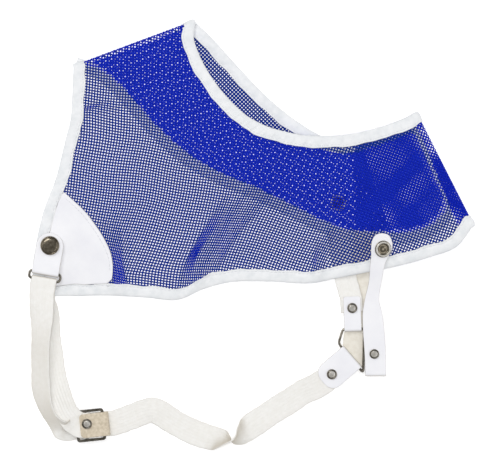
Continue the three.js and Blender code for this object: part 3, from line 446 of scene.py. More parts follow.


def new_material(name, roughness, metallic=0.0):
    material = bpy.data.materials.new(name)
    material.use_nodes = True
    shader = material.node_tree.nodes["Principled BSDF"]
    shader.inputs["Roughness"].default_value = roughness
    shader.inputs["Metallic"].default_value = metallic
    return material, material.node_tree, shader


def add_node(tree, kind, **values):
    node = tree.nodes.new(kind)
    for key, value in values.items():
        if key in node.inputs:
            node.inputs[key].default_value = value
        else:
            setattr(node, key, value)
    return node


def object_texture(tree, kind, output, **values):
    place = add_node(tree, "ShaderNodeTexCoord")
    texture = add_node(tree, kind, **values)
    tree.links.new(place.outputs["Object"], texture.inputs["Vector"])
    return texture.outputs[output]


def noise(tree, scale, detail):
    return object_texture(tree, "ShaderNodeTexNoise", "Fac", Scale=scale, Detail=detail)


def cells(tree, scale, feature):
    return object_texture(tree, "ShaderNodeTexVoronoi", "Distance", Scale=scale, feature=feature)


def ribs(tree, scale, direction):
    """Fine ribs in the strip's own coordinates, which are millimetres."""
    place = add_node(tree, "ShaderNodeUVMap", uv_map="UVMap")
    wave = add_node(tree, "ShaderNodeTexWave", Scale=scale, Distortion=0.6, bands_direction=direction)
    tree.links.new(place.outputs["UV"], wave.inputs["Vector"])
    return wave.outputs["Fac"]


def tones(tree, factor, dark, light, reach=MIDDLE_TONES):
    """Colour between two tones by a factor."""
    ramp = add_node(tree, "ShaderNodeValToRGB")
    for element, position, colour in zip(ramp.color_ramp.elements, reach, (dark, light)):
        element.position = position
        element.color = (*colour, 1)
    tree.links.new(factor, ramp.inputs["Fac"])
    return ramp.outputs["Color"]


def mixed(tree, share, first, second):
    """Colour from the first to the second by a share; a tuple is a plain colour."""
    mix = add_node(tree, "ShaderNodeMix", data_type="RGBA")
    for index, value in ((0, share), (6, first), (7, second)):
        if isinstance(value, tuple):
            mix.inputs[index].default_value = (*value, 1)
        else:
            tree.links.new(value, mix.inputs[index])
    return mix.outputs[2]


def edge_tone_and_shade(tree, face, colour):
    """Another colour on the faces that stand up: painted shade along edges and round folds, which on
    leather is also the raw colour of its cut edges.
    """
    # Painted shade: the more upright a face, the more of the edge colour, round folds too
    geometry = add_node(tree, "ShaderNodeNewGeometry")
    split = add_node(tree, "ShaderNodeSeparateXYZ")
    level = add_node(tree, "ShaderNodeMath", operation="ABSOLUTE")
    spread = add_node(tree, "ShaderNodeMapRange")
    spread.inputs["From Min"].default_value, spread.inputs["From Max"].default_value = EDGE_SLOPES
    tree.links.new(geometry.outputs["Normal"], split.inputs[0])
    tree.links.new(split.outputs["Z"], level.inputs[0])
    tree.links.new(level.outputs[0], spread.inputs["Value"])
    return mixed(tree, spread.outputs["Result"], colour, face)


def finish(
    key, name, roughness, grain, dark, light,
    bumps=(), metallic=0.0, reach=MIDDLE_TONES, edge=None, sheen=0.0,
):
    """Material of two tones; a bump is a texture with its two values, a strength and a depth in metres."""
    MATERIALS[key], tree, shader = new_material(name, roughness, metallic)
    colour = tones(tree, noise(tree, *grain), dark, light, reach)
    if edge is not None:
        colour = edge_tone_and_shade(tree, colour, edge)
    tree.links.new(colour, shader.inputs["Base Color"])
    shader.inputs["Sheen Weight"].default_value = sheen
    target = shader.inputs["Normal"]
    for texture, scale, option, strength, depth in reversed(bumps):
        node = add_node(tree, "ShaderNodeBump", Strength=strength, Distance=depth)
        tree.links.new(texture(tree, scale, option), node.inputs["Height"])
        tree.links.new(node.outputs["Normal"], target)
        target = node.inputs["Normal"]


def net_finish():
    """Net whose blue is painted light by layering: threads open over the table painted darker, threads over
    another net or gathered closely a brighter blue, and the lower net lighter still.
    """
    MATERIALS["mesh"], tree, shader = new_material("blue_net", 0.6)
    fibre = noise(tree, 900, 2.0)
    mark = add_node(tree, "ShaderNodeAttribute", attribute_name="layered")
    under = add_node(tree, "ShaderNodeMath", operation="SUBTRACT", use_clamp=True)
    under.inputs[1].default_value = 1.0
    tree.links.new(mark.outputs["Fac"], under.inputs[0])
    # Painted shade and light by layering: the open net darker, the layered net brighter, the lower net
    # lighter still
    colour = tones(tree, fibre, (0.002, 0.022, 0.21), (0.004, 0.03, 0.29))
    painted_layered_tones = tones(tree, fibre, (0.002, 0.013, 0.38), (0.004, 0.019, 0.5))
    painted_lower_net_tones = tones(tree, fibre, (0.02, 0.05, 0.53), (0.03, 0.07, 0.66))
    colour = mixed(tree, mark.outputs["Fac"], colour, painted_layered_tones)
    colour = mixed(tree, under.outputs[0], colour, painted_lower_net_tones)
    tree.links.new(colour, shader.inputs["Base Color"])
    shader.inputs["Specular IOR Level"].default_value = 0.12


net_finish()
finish(
    "tape", "white_binding", 0.75, (170, 5.0), (0.71, 0.73, 0.75), (0.79, 0.8, 0.815),
    [(noise, 420, 3.0, 0.28, 0.0004), (ribs, 0.45, "X", 0.2, 0.0002)],
    reach=(0.32, 0.62), sheen=0.2,
)
finish(
    "leather", "white_leather", 0.5, (60, 3.0), (0.77, 0.77, 0.81), (0.83, 0.83, 0.855),
    [(cells, 900, "F1", 0.18, 0.0002), (noise, 90, 2.0, 0.3, 0.0006)],
    # edge: the raw colour of cut leather, partly painted shade along its edges and round its folds
    edge=(0.52, 0.48, 0.4),
)
finish(
    "elastic", "ribbed_elastic", 0.85, (300, 4.0), (0.795, 0.78, 0.745), (0.835, 0.825, 0.8),
    [(ribs, 0.32, "Y", 0.35, 0.0003), (ribs, 0.5, "X", 0.3, 0.0003), (noise, 45, 2.0, 0.3, 0.0008)],
    # edge: painted shade along the elastic's edges and round its folds
    edge=(0.58, 0.53, 0.44), sheen=0.2,
)
NAP = [(noise, 1200, 3.0, 0.5, 0.0003)]
finish("suede", "leather_flesh_side", 0.9, (500, 4.0), (0.5, 0.43, 0.32), (0.68, 0.6, 0.48), NAP)
# A beige darker than the elastic: painted shade for the strip that lies behind the leather strap and inside
# the side ring
finish("painted_shade_beige", "beige_painted_shade", 0.9, (300, 4.0), (0.71, 0.67, 0.59), (0.79, 0.76, 0.69), NAP)
WEAR = [(noise, 500, 2.0, 0.12, 0.0003)]
# Nickel painted dark, in place of the dark surroundings that it would mirror
finish("nickel", "nickel_painted_dark", 0.25, (260, 4.0), (0.13, 0.115, 0.09), (0.4, 0.37, 0.32), WEAR, 1.0)
# Bright nickel: a lit copy of the nickel, painted highlight on the snap rims and on the discs on the rivets
finish("bright", "bright_nickel", 0.3, (300, 3.0), (0.5, 0.47, 0.41), (0.86, 0.84, 0.8), WEAR, 0.7)
PITS = [(noise, 600, 3.0, 0.2, 0.0003)]
# Antique metal: its olive tone is its own; its darkness is painted dark reflection on the snap cap and
# painted shade in the socket cups
finish("antique", "antique_metal_and_shade", 0.22, (420, 4.0), (0.14, 0.115, 0.08), (0.36, 0.32, 0.25), PITS, 1.0)
# The thread's grey is painted shade where the stitches sink into the tape and leather
finish("stitch", "stitch_thread", 0.7, (1500, 2.0), (0.56, 0.58, 0.62), (0.78, 0.79, 0.81))


# Meshes

class Builder:
    """Collects rings of points, in layout millimetres, into one piece."""

    def __init__(self):
        self.points = []
        self.faces = []
        self.uv = []
        self.layered = []
        self.count = 0

    def sweep(self, rings, closed_path=False, uv=None, layered=None):
        """Skin over rings (stations, sides, 3), each ring closed, with capped ends."""
        stations, sides = rings.shape[:2]
        here = np.arange(stations * sides).reshape(stations, sides) + self.count
        self.points.append(rings.reshape(-1, 3))
        self.count += stations * sides
        if uv is not None:
            self.uv.append(uv.reshape(-1, 2))
        if layered is not None:
            self.layered.append(np.repeat(layered, sides))
        nxt = np.roll(here, -1, axis=0) if closed_path else here[1:]
        cur = here if closed_path else here[:-1]
        quads = np.stack([cur, np.roll(cur, -1, axis=1), np.roll(nxt, -1, axis=1), nxt], axis=-1)
        self.faces.extend(quads.reshape(-1, 4).tolist())
        if not closed_path:
            self.faces += [here[0][::-1].tolist(), here[-1].tolist()]

    def piece(self, name, look, slot, replaces=()):
        """Piece that rides on the guard."""
        mesh = bpy.data.meshes.new(name)
        points = (np.concatenate(self.points) - LAYOUT_CENTRE) / 1000
        mesh.from_pydata(points.tolist(), [], self.faces)
        if self.uv:
            layer = mesh.uv_layers.new(name="UVMap")
            loops = np.zeros(len(mesh.loops), int)
            mesh.loops.foreach_get("vertex_index", loops)
            layer.data.foreach_set("uv", np.concatenate(self.uv).astype(np.float32)[loops].ravel())
        if self.layered:
            marks = mesh.attributes.new("layered", "FLOAT", "POINT")
            marks.data.foreach_set("value", np.concatenate(self.layered).astype(np.float32))
        mesh.polygons.foreach_set("use_smooth", [True] * len(mesh.polygons))
        mesh.materials.append(MATERIALS[look])
        mesh.update()
        piece = bpy.data.objects.new(name, mesh)
        bpy.context.scene.collection.objects.link(piece)
        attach(piece, "root")
        if replaces:
            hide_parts(*replaces)
        return piece


def swept(name, rings, look, slot, replaces, **how):
    """Piece of one sweep."""
    builder = Builder()
    builder.sweep(rings, **how)
    return builder.piece(name, look, slot, replaces)


def strip_uv(length, around, sides):
    """Coordinates of a swept strip in millimetres, along it and round it."""
    return np.stack(np.meshgrid(length, np.linspace(0, around, sides), indexing="ij"), axis=-1)


def tube_rings(path, radius, sides, closed=False):
    """Rings of a round wire along a path that never points straight up; radius may differ per station."""
    if closed:
        along = unit(np.roll(path, -1, axis=0) - np.roll(path, 1, axis=0))
    else:
        along = tangents(path)
    sideways = unit(np.cross(UP, along))
    above = np.cross(along, sideways)
    angles = np.linspace(0, 2 * math.pi, sides, endpoint=False)[None, :, None]
    radius = np.broadcast_to(radius, len(path))[:, None, None]
    spokes = sideways[:, None, :] * np.cos(angles) + above[:, None, :] * np.sin(angles)
    return path[:, None, :] + radius * spokes


def from_rim(radius, steps):
    """Outline whose points are given by how far inward from a radius they lie, and their height."""
    return [[radius - inward, height] for inward, height in steps]


def lathe_rings(outline, centre, tilt):
    """Rings of a round part from its half outline (radius, height), lower end first."""
    angles = np.linspace(0, 2 * math.pi, HEAD_SIDES, endpoint=False)
    radius, height = np.array(outline).T[:, :, None]
    rings = np.broadcast_arrays(radius * np.cos(angles), radius * np.sin(angles), height)
    return np.stack(rings, axis=-1) @ tilt.T + centre


def ribbon_rings(centres, across, normal, left, right, thick):
    """Rings of a flat strip with rounded edges; left and right are half widths per station."""
    half = thick / 2
    corner = np.radians([0, 30, 60, 90])
    inset = EDGE_ROUND * thick * (1 - np.cos(corner))
    height = half - EDGE_ROUND * thick * (1 - np.sin(corner))
    top = [(1, -i, h) for i, h in zip(inset, height)]
    top += [(share, 0.0, half) for share in (0.8, 0.4, 0.0, -0.4, -0.8)]
    top += [(-1, i, h) for i, h in zip(inset[::-1], height[::-1])]
    rings = []
    for share, shift, level in top + [(share, shift, -level) for share, shift, level in reversed(top)]:
        width = share * (right if share > 0 else left)
        rings.append(centres + across * (width + shift)[:, None] + normal * level)
    return np.stack(rings, axis=1)


# Cloth surfaces

def cross_lines(arm, out, normal, crown=0.0, creased=False):
    """Lines across a cloth from its armhole edge to its outer edge, one per station."""
    count = len(arm)
    return {
        "arm": arm,
        "out": out,
        "normal": np.broadcast_to(normal, (count, 3)),
        "crown": np.broadcast_to(crown, count),
        "creased": np.full(count, creased),
    }


def stations_of(sections, first, last, steps, creased=False):
    """Lines across a cloth from one row of its table to another."""
    rows = np.linspace(first, last, steps)
    ends = []
    for side in SIDES:
        known = picked(sections, side + "_x", side + "_y", side + "_z")
        line = catmull(known, rows / (len(sections) - 1))
        line[:, 2] = np.maximum(line[:, 2], LOWEST_CLOTH_Z)
        ends.append(line)
    crown = np.interp(rows, range(len(sections)), [row["crown"] for row in sections])
    return cross_lines(*ends, UP, crown, creased)


def section_lengths(stations):
    return np.linalg.norm(stations["out"] - stations["arm"], axis=1)


def slant(stations, side):
    """How much longer a width in from an edge is along the lines across the cloth."""
    across = unit(stations["out"] - stations["arm"])
    square = np.linalg.norm(np.cross(tangents(stations[side]), across), axis=1)
    return 1 / np.maximum(square, LEAST_SLANT)


def crease_height(x, y):
    height = np.zeros_like(x)
    for crease in FRONT_CREASES:
        start = np.array([crease["from_x"], crease["from_y"]])
        along = np.array([crease["to_x"], crease["to_y"]]) - start
        share = ((x - start[0]) * along[0] + (y - start[1]) * along[1]) / (along @ along)
        share = np.clip(share, 0, 1)
        away = np.hypot(x - start[0] - share * along[0], y - start[1] - share * along[1])
        height = height + crease["height"] * np.exp(-((away / crease["width"]) ** 2))
    return height


def cloth_points(stations, distances):
    """Middle surface at a distance from the armhole edge, one per station."""
    share = distances / section_lengths(stations)
    points = stations["arm"] + (stations["out"] - stations["arm"]) * share[:, None]
    smooth = share * share * (3 - 2 * share)
    z = stations["arm"][:, 2] + (stations["out"][:, 2] - stations["arm"][:, 2]) * smooth
    z = z + stations["crown"] * 4 * share * (1 - share)
    z = z + np.where(stations["creased"], crease_height(points[:, 0], points[:, 1]), 0)
    level = np.abs(stations["normal"][:, 2] - 1) < 1e-6
    points[:, 2] = np.where(level, z, points[:, 2])
    return points


def surface_tree(stations, columns, inset=NET_INSET):
    """Tree for casting rays onto a cloth, without the strip at its edges that the net leaves free."""
    length = section_lengths(stations)
    rows = [cloth_points(stations, inset + (length - 2 * inset) * k / columns) for k in range(columns + 1)]
    grid = np.stack(rows, axis=1)
    count, across = grid.shape[:2]
    index = np.arange(count * across).reshape(count, across)
    quads = np.stack([index[:-1, :-1], index[1:, :-1], index[1:, 1:], index[:-1, 1:]], axis=-1)
    return BVHTree.FromPolygons(grid.reshape(-1, 3).tolist(), quads.reshape(-1, 4).tolist())


def cast_down(tree, x, y):
    """Point and normal of a cloth below x, y, or None outside it."""
    place, normal, _, _ = tree.ray_cast(Vector((x, y, RAY_HEIGHT)), Vector((0, 0, -1)))
    if place is None:
        return None
    if normal.z < 0:
        normal = -normal
    return np.array(place), np.array(normal)


def fold(stations, at, side, below, hem=(0, 0)):
    """Fold at the first or last line of a cloth, down to the level below, with the reach of its hem."""
    line = np.stack([stations["arm"][at], stations["out"][at]])
    along = unit(line[1] - line[0])
    top = float(line[0][2])
    return {
        "line": line,
        "start": np.array([line[0][0], line[0][1], 0.0]),
        "along": along,
        "outward": side * np.array([-along[1], along[0], 0.0]),
        "length": float(np.linalg.norm(line[1] - line[0])),
        "z": top,
        "radius": (top - below) / 2,
        "hem": hem,
    }


FRONT_STATIONS = stations_of(FRONT_SECTIONS, 0, FRONT_END, FRONT_STEPS, True)
BACK_STATIONS = stations_of(BACK_SECTIONS, BACK_START, BACK_END, BACK_STEPS)
SHOULDER = fold(FRONT_STATIONS, 0, -1, LOWEST_CLOTH_Z)
UNDERARM = fold(FRONT_STATIONS, -1, 1, UNDERARM_HEM["z"], (UNDERARM_HEM["arm"], UNDERARM_HEM["out"]))


# Nets

def net_points(grid, tree, bends):
    """Places and normals of a lattice given in plan; bends carry it round the folds to the hems."""
    rows, columns = grid.shape[:2]
    places = np.full((rows, columns, 3), np.nan)
    normals = np.zeros((rows, columns, 3))
    for i in range(rows):
        for j in range(columns):
            x, y = grid[i, j]
            hit = None
            for bend in bends:
                offset = np.array([x, y, 0.0]) - bend["start"]
                away = offset @ bend["outward"]
                if away <= 0:
                    continue
                along = offset @ bend["along"]
                angle = min(away / bend["radius"], math.pi)
                past = away - math.pi * bend["radius"]
                hem = np.interp(along, [0, bend["length"]], bend["hem"])
                if NET_INSET < along < bend["length"] - NET_INSET and past < hem:
                    normal = bend["outward"] * math.sin(angle) + UP * math.cos(angle)
                    foot = bend["start"] + bend["along"] * along - bend["outward"] * max(past, 0)
                    hit = foot + UP * (bend["z"] - bend["radius"]) + normal * bend["radius"], normal
                break
            else:
                hit = cast_down(tree, x, y)
            if hit is not None:
                places[i, j], normals[i, j] = hit
    return places, normals


def layer_marks(grid, places, tree, bends):
    """1 at the lattice points over or under another net, or gathered closely, down to 0; they widen the
    lower threads and choose the net's painted light and shade.
    """
    warp, weft = np.gradient(grid, axis=0), np.gradient(grid, axis=1)
    cell = np.abs(warp[..., 0] * weft[..., 1] - warp[..., 1] * weft[..., 0]) / NET_PITCH**2
    marks = np.interp(cell, CLOSED_NET, (1, 0))
    for bend in bends:
        offset = places - bend["start"]
        reach = np.interp(offset @ bend["along"], [0, bend["length"]], bend["hem"])
        marks[offset @ bend["outward"] > -reach] = 1
    for i, j in np.argwhere(~np.isnan(places[..., 0])):
        if cast_down(tree, places[i, j, 0], places[i, j, 1]) is not None:
            marks[i, j] = 1
    return marks


def add_threads(builder, places, normals, layered, width, first_over):
    """One thread along each row of a lattice, over and under at each crossing."""
    for i in range(len(places)):
        valid = ~np.isnan(places[i, :, 0])
        starts = np.flatnonzero(valid & ~np.concatenate([[False], valid[:-1]]))
        ends = np.flatnonzero(valid & ~np.concatenate([valid[1:], [False]]))
        for start, end in zip(starts, ends):
            if end - start < 2:
                continue
            run = slice(start, end + 1)
            normal = normals[i, run]
            over = (i + np.arange(start, end + 1)) % 2 == first_over
            centre = places[i, run] + normal * np.where(over, NET_WAVE, -NET_WAVE)[:, None]
            sideways = unit(np.cross(normal, tangents(places[i, run])))
            spread = 1 + UNDER_SPREAD * np.maximum(layered[i, run] - 1, 0)
            half_wide = sideways * (width * spread / 2)[:, None]
            half_thick = normal * NET_THREAD_THICK / 2
            corners = [centre + half_wide, centre + half_thick, centre - half_wide, centre - half_thick]
            builder.sweep(np.stack(corners, axis=1), layered=layered[i, run])


def net_piece(name, layers, width, other, depth, bends, replaces):
    """Net of one or more layers, each a lattice in plan with the surface that it lies on.

    The other net lies below this one at depth 1 and above it at depth 2.
    """
    builder = Builder()
    for grid, tree in layers:
        places, normals = net_points(grid, tree, bends)
        marks = layer_marks(grid, places, other, bends) * depth
        add_threads(builder, places, normals, marks, width, 0)
        add_threads(builder, places.transpose(1, 0, 2), normals.transpose(1, 0, 2), marks.T, width, 1)
    net = builder.piece(name, "mesh", "mesh", replaces)
    # The light of the studio falls through the open nets without a shadow of every thread
    net.visible_shadow = False
    return net


def straight_grid(turn, centre, reach):
    a = math.radians(turn)
    steps = np.arange(-reach, reach, NET_PITCH)
    u, v = np.meshgrid(steps, steps, indexing="ij")
    x = centre[0] + u * math.cos(a) - v * math.sin(a)
    y = centre[1] + u * math.sin(a) + v * math.cos(a)
    return np.stack([x, y], axis=-1)


def gathered(grid):
    """Lattice with its threads pulled together along the creases."""
    for row in FRONT_GATHERS:
        start = np.array([row["from_x"], row["from_y"]])
        line = np.array([row["to_x"], row["to_y"]]) - start
        along = unit(line)
        right = np.array([along[1], -along[0]])
        offset = grid - start
        share = offset @ along / np.linalg.norm(line)
        away = offset @ right + row["bow"] * np.sin(math.pi * np.clip(share, 0, 1))
        near = row["dense"] * row["dense_share"]
        far = row["loose"] * row["loose_share"]
        end = row["loose"] + row["rest"]
        pull = np.interp(away, [-row["dense"], 0, end], [0, near, 0]) * np.interp(share, *DENSE_TAPER)
        pull += np.interp(away, [0, row["loose"], end], [0, far, 0]) * np.interp(share, *LOOSE_TAPER)
        grid = grid - pull[..., None] * right
    return grid


def swayed(grid, first, second, waves, seed):
    """Lattice whose threads wander in x along the first of two lengths and in y along the second."""
    sway_x = ripple(first, waves[0], seed)
    sway_y = ripple(second, waves[1], seed + 1)
    return grid + np.stack([sway_x, sway_y], axis=-1)


def front_grid():
    """Lattice of the front, flat in plan, that also reaches past both folds."""
    at = np.arange(0, FRONT_GRAIN_LENGTH, NET_PITCH)
    known = [row["at"] for row in FRONT_GRAIN]
    turns = {key: np.interp(at, known, [row[key] for row in FRONT_GRAIN]) for key in FRONT_GRAIN[0]}
    weft = np.radians(turns["weft"])
    middle = np.stack([np.cumsum(np.cos(weft)), np.cumsum(np.sin(weft))], axis=1) * NET_PITCH
    middle = middle + FRONT_GRAIN_START
    steps = np.arange(int(FRONT_GRAIN_REACH / NET_PITCH))
    halves = []
    for side, far_key, far in ((-1, "warp_low", FRONT_GRAIN_LOW), (1, "warp_top", FRONT_GRAIN_TOP)):
        share = np.minimum(steps * NET_PITCH / far, 1)[None, :]
        warp = np.radians(turns["warp_middle"][:, None] * (1 - share) + turns[far_key][:, None] * share)
        walk = np.stack([np.cumsum(-np.sin(warp), axis=1), np.cumsum(np.cos(warp), axis=1)], axis=-1)
        halves.append(middle[:, None, :] + side * NET_PITCH * walk)
    grid = np.concatenate([halves[0][:, ::-1], middle[:, None, :], halves[1]], axis=1)
    return gathered(swayed(grid, grid[..., 1], grid[..., 0], FRONT_SWAY, 11))


def end_panel_stations():
    """Lines across the end panel, from the band's armhole edge to short of its lower tape."""
    stations = stations_of(BACK_SECTIONS, *END_PANEL["rows"], END_PANEL_STEPS)
    depth = TAPE_WIDTH * slant(stations, "out") + END_PANEL["margin"] - END_PANEL_INSET
    across = unit(stations["out"] - stations["arm"])
    stations["out"] = stations["out"] - across * depth[:, None]
    for side in SIDES:
        stations[side][:, 2] = END_PANEL["z"]
    return stations


def band_layers():
    """The band's two nets, which overlap at their seam."""
    ends = [stations_of(BACK_SECTIONS, BACK_START, BAND_SEAM[side], SEAM_STEPS[0])[side] for side in SIDES]
    first = cross_lines(*ends, UP)
    second = stations_of(BACK_SECTIONS, BAND_SEAM["second"], BACK_END, SEAM_STEPS[1])
    for side in SIDES:
        second[side][:, 2] += BAND_SEAM["lift"]
    return [
        (straight_grid(**BACK_GRAIN), surface_tree(first, BACK_COLUMNS)),
        (front_lattice + BAND_GRID_SHIFT, surface_tree(second, BACK_COLUMNS)),
    ]


front_lattice = front_grid()
front_tree = surface_tree(FRONT_STATIONS, FRONT_COLUMNS)
band_stations = stations_of(BACK_SECTIONS, BACK_START, END_PANEL["rows"][1], BACK_STEPS)
band_tree = surface_tree(band_stations, BACK_COLUMNS, TAPE_WIDTH)
end_tree = surface_tree(end_panel_stations(), BACK_COLUMNS, END_PANEL_INSET)
end_grid = front_lattice + END_GRID_SHIFT
end_x, end_y = end_grid[..., 0], end_grid[..., 1]
end_grid = swayed(end_grid, end_x + end_y, end_y - end_x, [END_GRID_SWAY, END_GRID_SWAY], 71)
front_layers = [(front_lattice, front_tree)]
front_net = net_piece(
    "front_net", front_layers, NET_THREAD_WIDTH, band_tree, 1, [SHOULDER, UNDERARM], ["front_panel"]
)
back_net = net_piece("back_net", band_layers(), BACK_THREAD_WIDTH, front_tree, 2, [], ["back_band"])
end_layers = [(end_grid, end_tree)]
end_net = net_piece("end_net", end_layers, BACK_THREAD_WIDTH, front_tree, 2, [], ["band_end_panel"])


# Bindings

# Half of the folded tape in cross-section: inward from its outer edge, and height over the cloth;
# the part at its inner edge is given from there
TAPE_HEM = [[0, 0.62], [-0.05, 1.0], [0.35, 1.3], [0.9, 1.3], [1.6, 1.0], [2.4, 1.3]]
TAPE_BODY = [[4.0, 1.62], [6.0, 1.72]]
TAPE_PROFILE = from_rim(TAPE_WIDTH, TAPE_HEM + TAPE_BODY) + [[1.8, 1.6], [0.8, 1.3], [0.25, 0.75]]
TAPE_INSIDE = [[1.7, -0.6], [1.7, 0.6]]
TAPE_LOOP = TAPE_PROFILE + [[0.0, 0.0]] + [[a, -h] for a, h in reversed(TAPE_PROFILE)] + TAPE_INSIDE
TAPE_AROUND = 2 * TAPE_WIDTH + 4
TAPE_TALLEST = 1.8
TAPE_FOLD = 2.0  # the tape puckers less this close to its fold
TAPE_FOLD_PUCKER = 0.3
TAPE_LEAST_PUCKERED = 0.7  # lower points of the profile keep their height
TAPE_PUCKER = [(5.2, 0.13), (8.3, 0.12), (3.1, 0.08)]
TAPE_WAVER = [(23.0, 0.3), (37.0, 0.25), (11.0, 0.12)]
STITCH_INDEX = 4
UNDER_STITCH_INDEX = 2 * len(TAPE_PROFILE) - STITCH_INDEX
OUTLINE_STEP = 1.5
OUTLINE_REACH = 12  # steps over which the outline's corners are smoothed
OUTLINE_SPREAD = 4.0
OUTLINE_END_STEPS = 60

# One stitch: shares of its length, and its rise and its radius there
STITCH_SHARES = np.array([0.0, 0.18, 0.5, 0.82, 1.0])
STITCH_RISE = np.array([-0.6, 0.6, 1.0, 0.6, -0.6])
STITCH_TAPER = np.array([0.6, 1.0, 1.0, 1.0, 0.6])
STITCH_FINENESS = 0.5
STITCH_MARGIN = 1.0
binding_stitches = Builder()


def tape_rings(place, length, seed):
    """Rings of a folded tape; place(inward) gives points and normals along it."""
    pucker = ripple(length, TAPE_PUCKER, seed)
    waver = ripple(length, TAPE_WAVER, seed + 1)
    rings = []
    for inward, height in TAPE_LOOP:
        points, normal = place(np.maximum(inward + inward / TAPE_WIDTH * waver, 0))
        puff = 1 + pucker * (1 if inward > TAPE_FOLD else TAPE_FOLD_PUCKER)
        tall = height * puff if abs(height) > TAPE_LEAST_PUCKERED else np.full(len(length), height)
        rings.append(points + normal * np.clip(tall, -TAPE_TALLEST, TAPE_TALLEST)[:, None])
    return np.stack(rings, axis=1)


def add_stitches(builder, line, lift):
    """Row of short stitches along a line of points, each dipping at its ends."""
    line = resample(line, STITCH_FINENESS)
    known = arc_length(line)
    position = STITCH_MARGIN
    while position + STITCH_LENGTH < known[-1] - STITCH_MARGIN:
        points = along_line(line, known, position + STITCH_LENGTH * STITCH_SHARES)
        points[:, 2] += lift * STITCH_RISE
        builder.sweep(tube_rings(points, STITCH_RADIUS * STITCH_TAPER, STITCH_SIDES))
        position += STITCH_LENGTH + STITCH_GAP


def tape_piece(name, place, line, replaces, seed):
    """Folded tape along a line, stitched on both faces."""
    length = arc_length(line)
    rings = tape_rings(place, length, seed)
    add_stitches(binding_stitches, rings[:, STITCH_INDEX], STITCH_LIFT)
    add_stitches(binding_stitches, rings[:, UNDER_STITCH_INDEX], -STITCH_LIFT)
    swept(name, rings, "tape", "tape", replaces, uv=strip_uv(length, TAPE_AROUND, rings.shape[1]))


def cloth_tape(name, stations, side, replaces, seed):
    """Tape along one side of a cloth, following its surface."""
    scale = slant(stations, side)
    total = section_lengths(stations)

    def place(inward):
        distance = inward * scale
        return cloth_points(stations, distance if side == "arm" else total - distance), stations["normal"]

    tape_piece(name, place, stations[side], replaces, seed)


def outline_tape(name, stations, replaces, seed):
    """Tape that runs down one side of a cloth, across its end and back up the other side."""
    end = np.linspace(stations["arm"][-1], stations["out"][-1], OUTLINE_END_STEPS)[1:-1]
    line = resample(np.vstack([stations["arm"], end, stations["out"][::-1]]), OUTLINE_STEP)
    kernel = np.exp(-0.5 * (np.arange(-OUTLINE_REACH, OUTLINE_REACH + 1) / OUTLINE_SPREAD) ** 2)
    kernel /= kernel.sum()
    before = 2 * line[0] - line[OUTLINE_REACH:0:-1]
    after = 2 * line[-1] - line[-2 : -OUTLINE_REACH - 2 : -1]
    padded = np.vstack([before, line, after])
    line = np.stack([np.convolve(column, kernel, "valid") for column in padded.T], axis=1)
    inward = unit(np.cross(tangents(line), UP))
    middle = (stations["arm"] + stations["out"]).mean(axis=0) / 2
    if (middle - line.mean(axis=0)) @ inward.mean(axis=0) < 0:
        inward = -inward
    normal = np.broadcast_to(UP, line.shape)
    tape_piece(name, lambda a: (line + inward * a[:, None], normal), line, replaces, seed)


def bend_lines(bend, steps):
    """Lines across a cloth round a fold, from just past the upper layer to half a turn."""
    angles = np.linspace(0, math.pi, steps + 1)[1:, None]
    normal = np.sin(angles) * bend["outward"] + np.cos(angles) * UP
    shift = normal * bend["radius"] - UP * bend["radius"]
    return cross_lines(bend["line"][0] + shift, bend["line"][1] + shift, normal)


def hem_lines(bend, bent, steps):
    """Lines across the hem, inwards from the last line of the bent cloth."""
    share = np.linspace(0, 1, steps + 1)[1:, None]
    ends = [bent[side][-1] - bend["outward"] * reach * share for side, reach in zip(SIDES, bend["hem"])]
    return cross_lines(*ends, bent["normal"][-1])


shoulder_bend = {key: value[::-1] for key, value in bend_lines(SHOULDER, steps=10).items()}
underarm_bend = bend_lines(UNDERARM, steps=14)
front_parts = [shoulder_bend, FRONT_STATIONS, underarm_bend, hem_lines(UNDERARM, underarm_bend, steps=4)]
front_folded = {key: np.concatenate([part[key] for part in front_parts]) for key in FRONT_STATIONS}
cloth_tape("front_armhole_binding", front_folded, "arm", ["front_armhole_tape"], seed=21)
cloth_tape("front_outer_binding", front_folded, "out", ["front_outer_tape"], seed=31)
back_tapes = ["back_armhole_tape", "back_end_tape", "back_lower_tape"]
outline_tape("back_binding", BACK_STATIONS, back_tapes, seed=41)
binding_stitches.piece("binding_stitches", "stitch", "tape")


# Leather patch

# Section of the patch from the tape to its free edge: share of its width, and share of its thickness
PATCH_COLUMNS = [0.0, 0.004, 0.03, 0.2, 0.4, 0.6, 0.8, 0.94, 0.975, 0.992, 1.0]
PATCH_HEIGHTS = [0.5, 0.9, 1.0, 1.0, 1.0, 1.0, 1.0, 1.0, 0.95, 0.75, 0.35]
PATCH_LEAST = 1.5
PATCH_EDGE_STEPS = 121
PATCH_SEAM = slice(4, -4)  # the stations that are stitched


def reach_to(line, out, across):
    """Share of a section, from its outer end, at which a line in plan crosses it."""
    step = np.diff(line, axis=0)
    offset = line[:-1] - out
    cross = across[0] * step[:, 1] - across[1] * step[:, 0]
    along = (offset[:, 0] * across[1] - offset[:, 1] * across[0]) / cross
    share = (offset[:, 0] * step[:, 1] - offset[:, 1] * step[:, 0]) / cross
    return share[np.flatnonzero((along >= 0) & (along <= 1))[0]]


def on_patch(distance):
    """Cloth below the patch at distances from the outer edge."""
    return cloth_points(patch_stations, patch_total - distance)


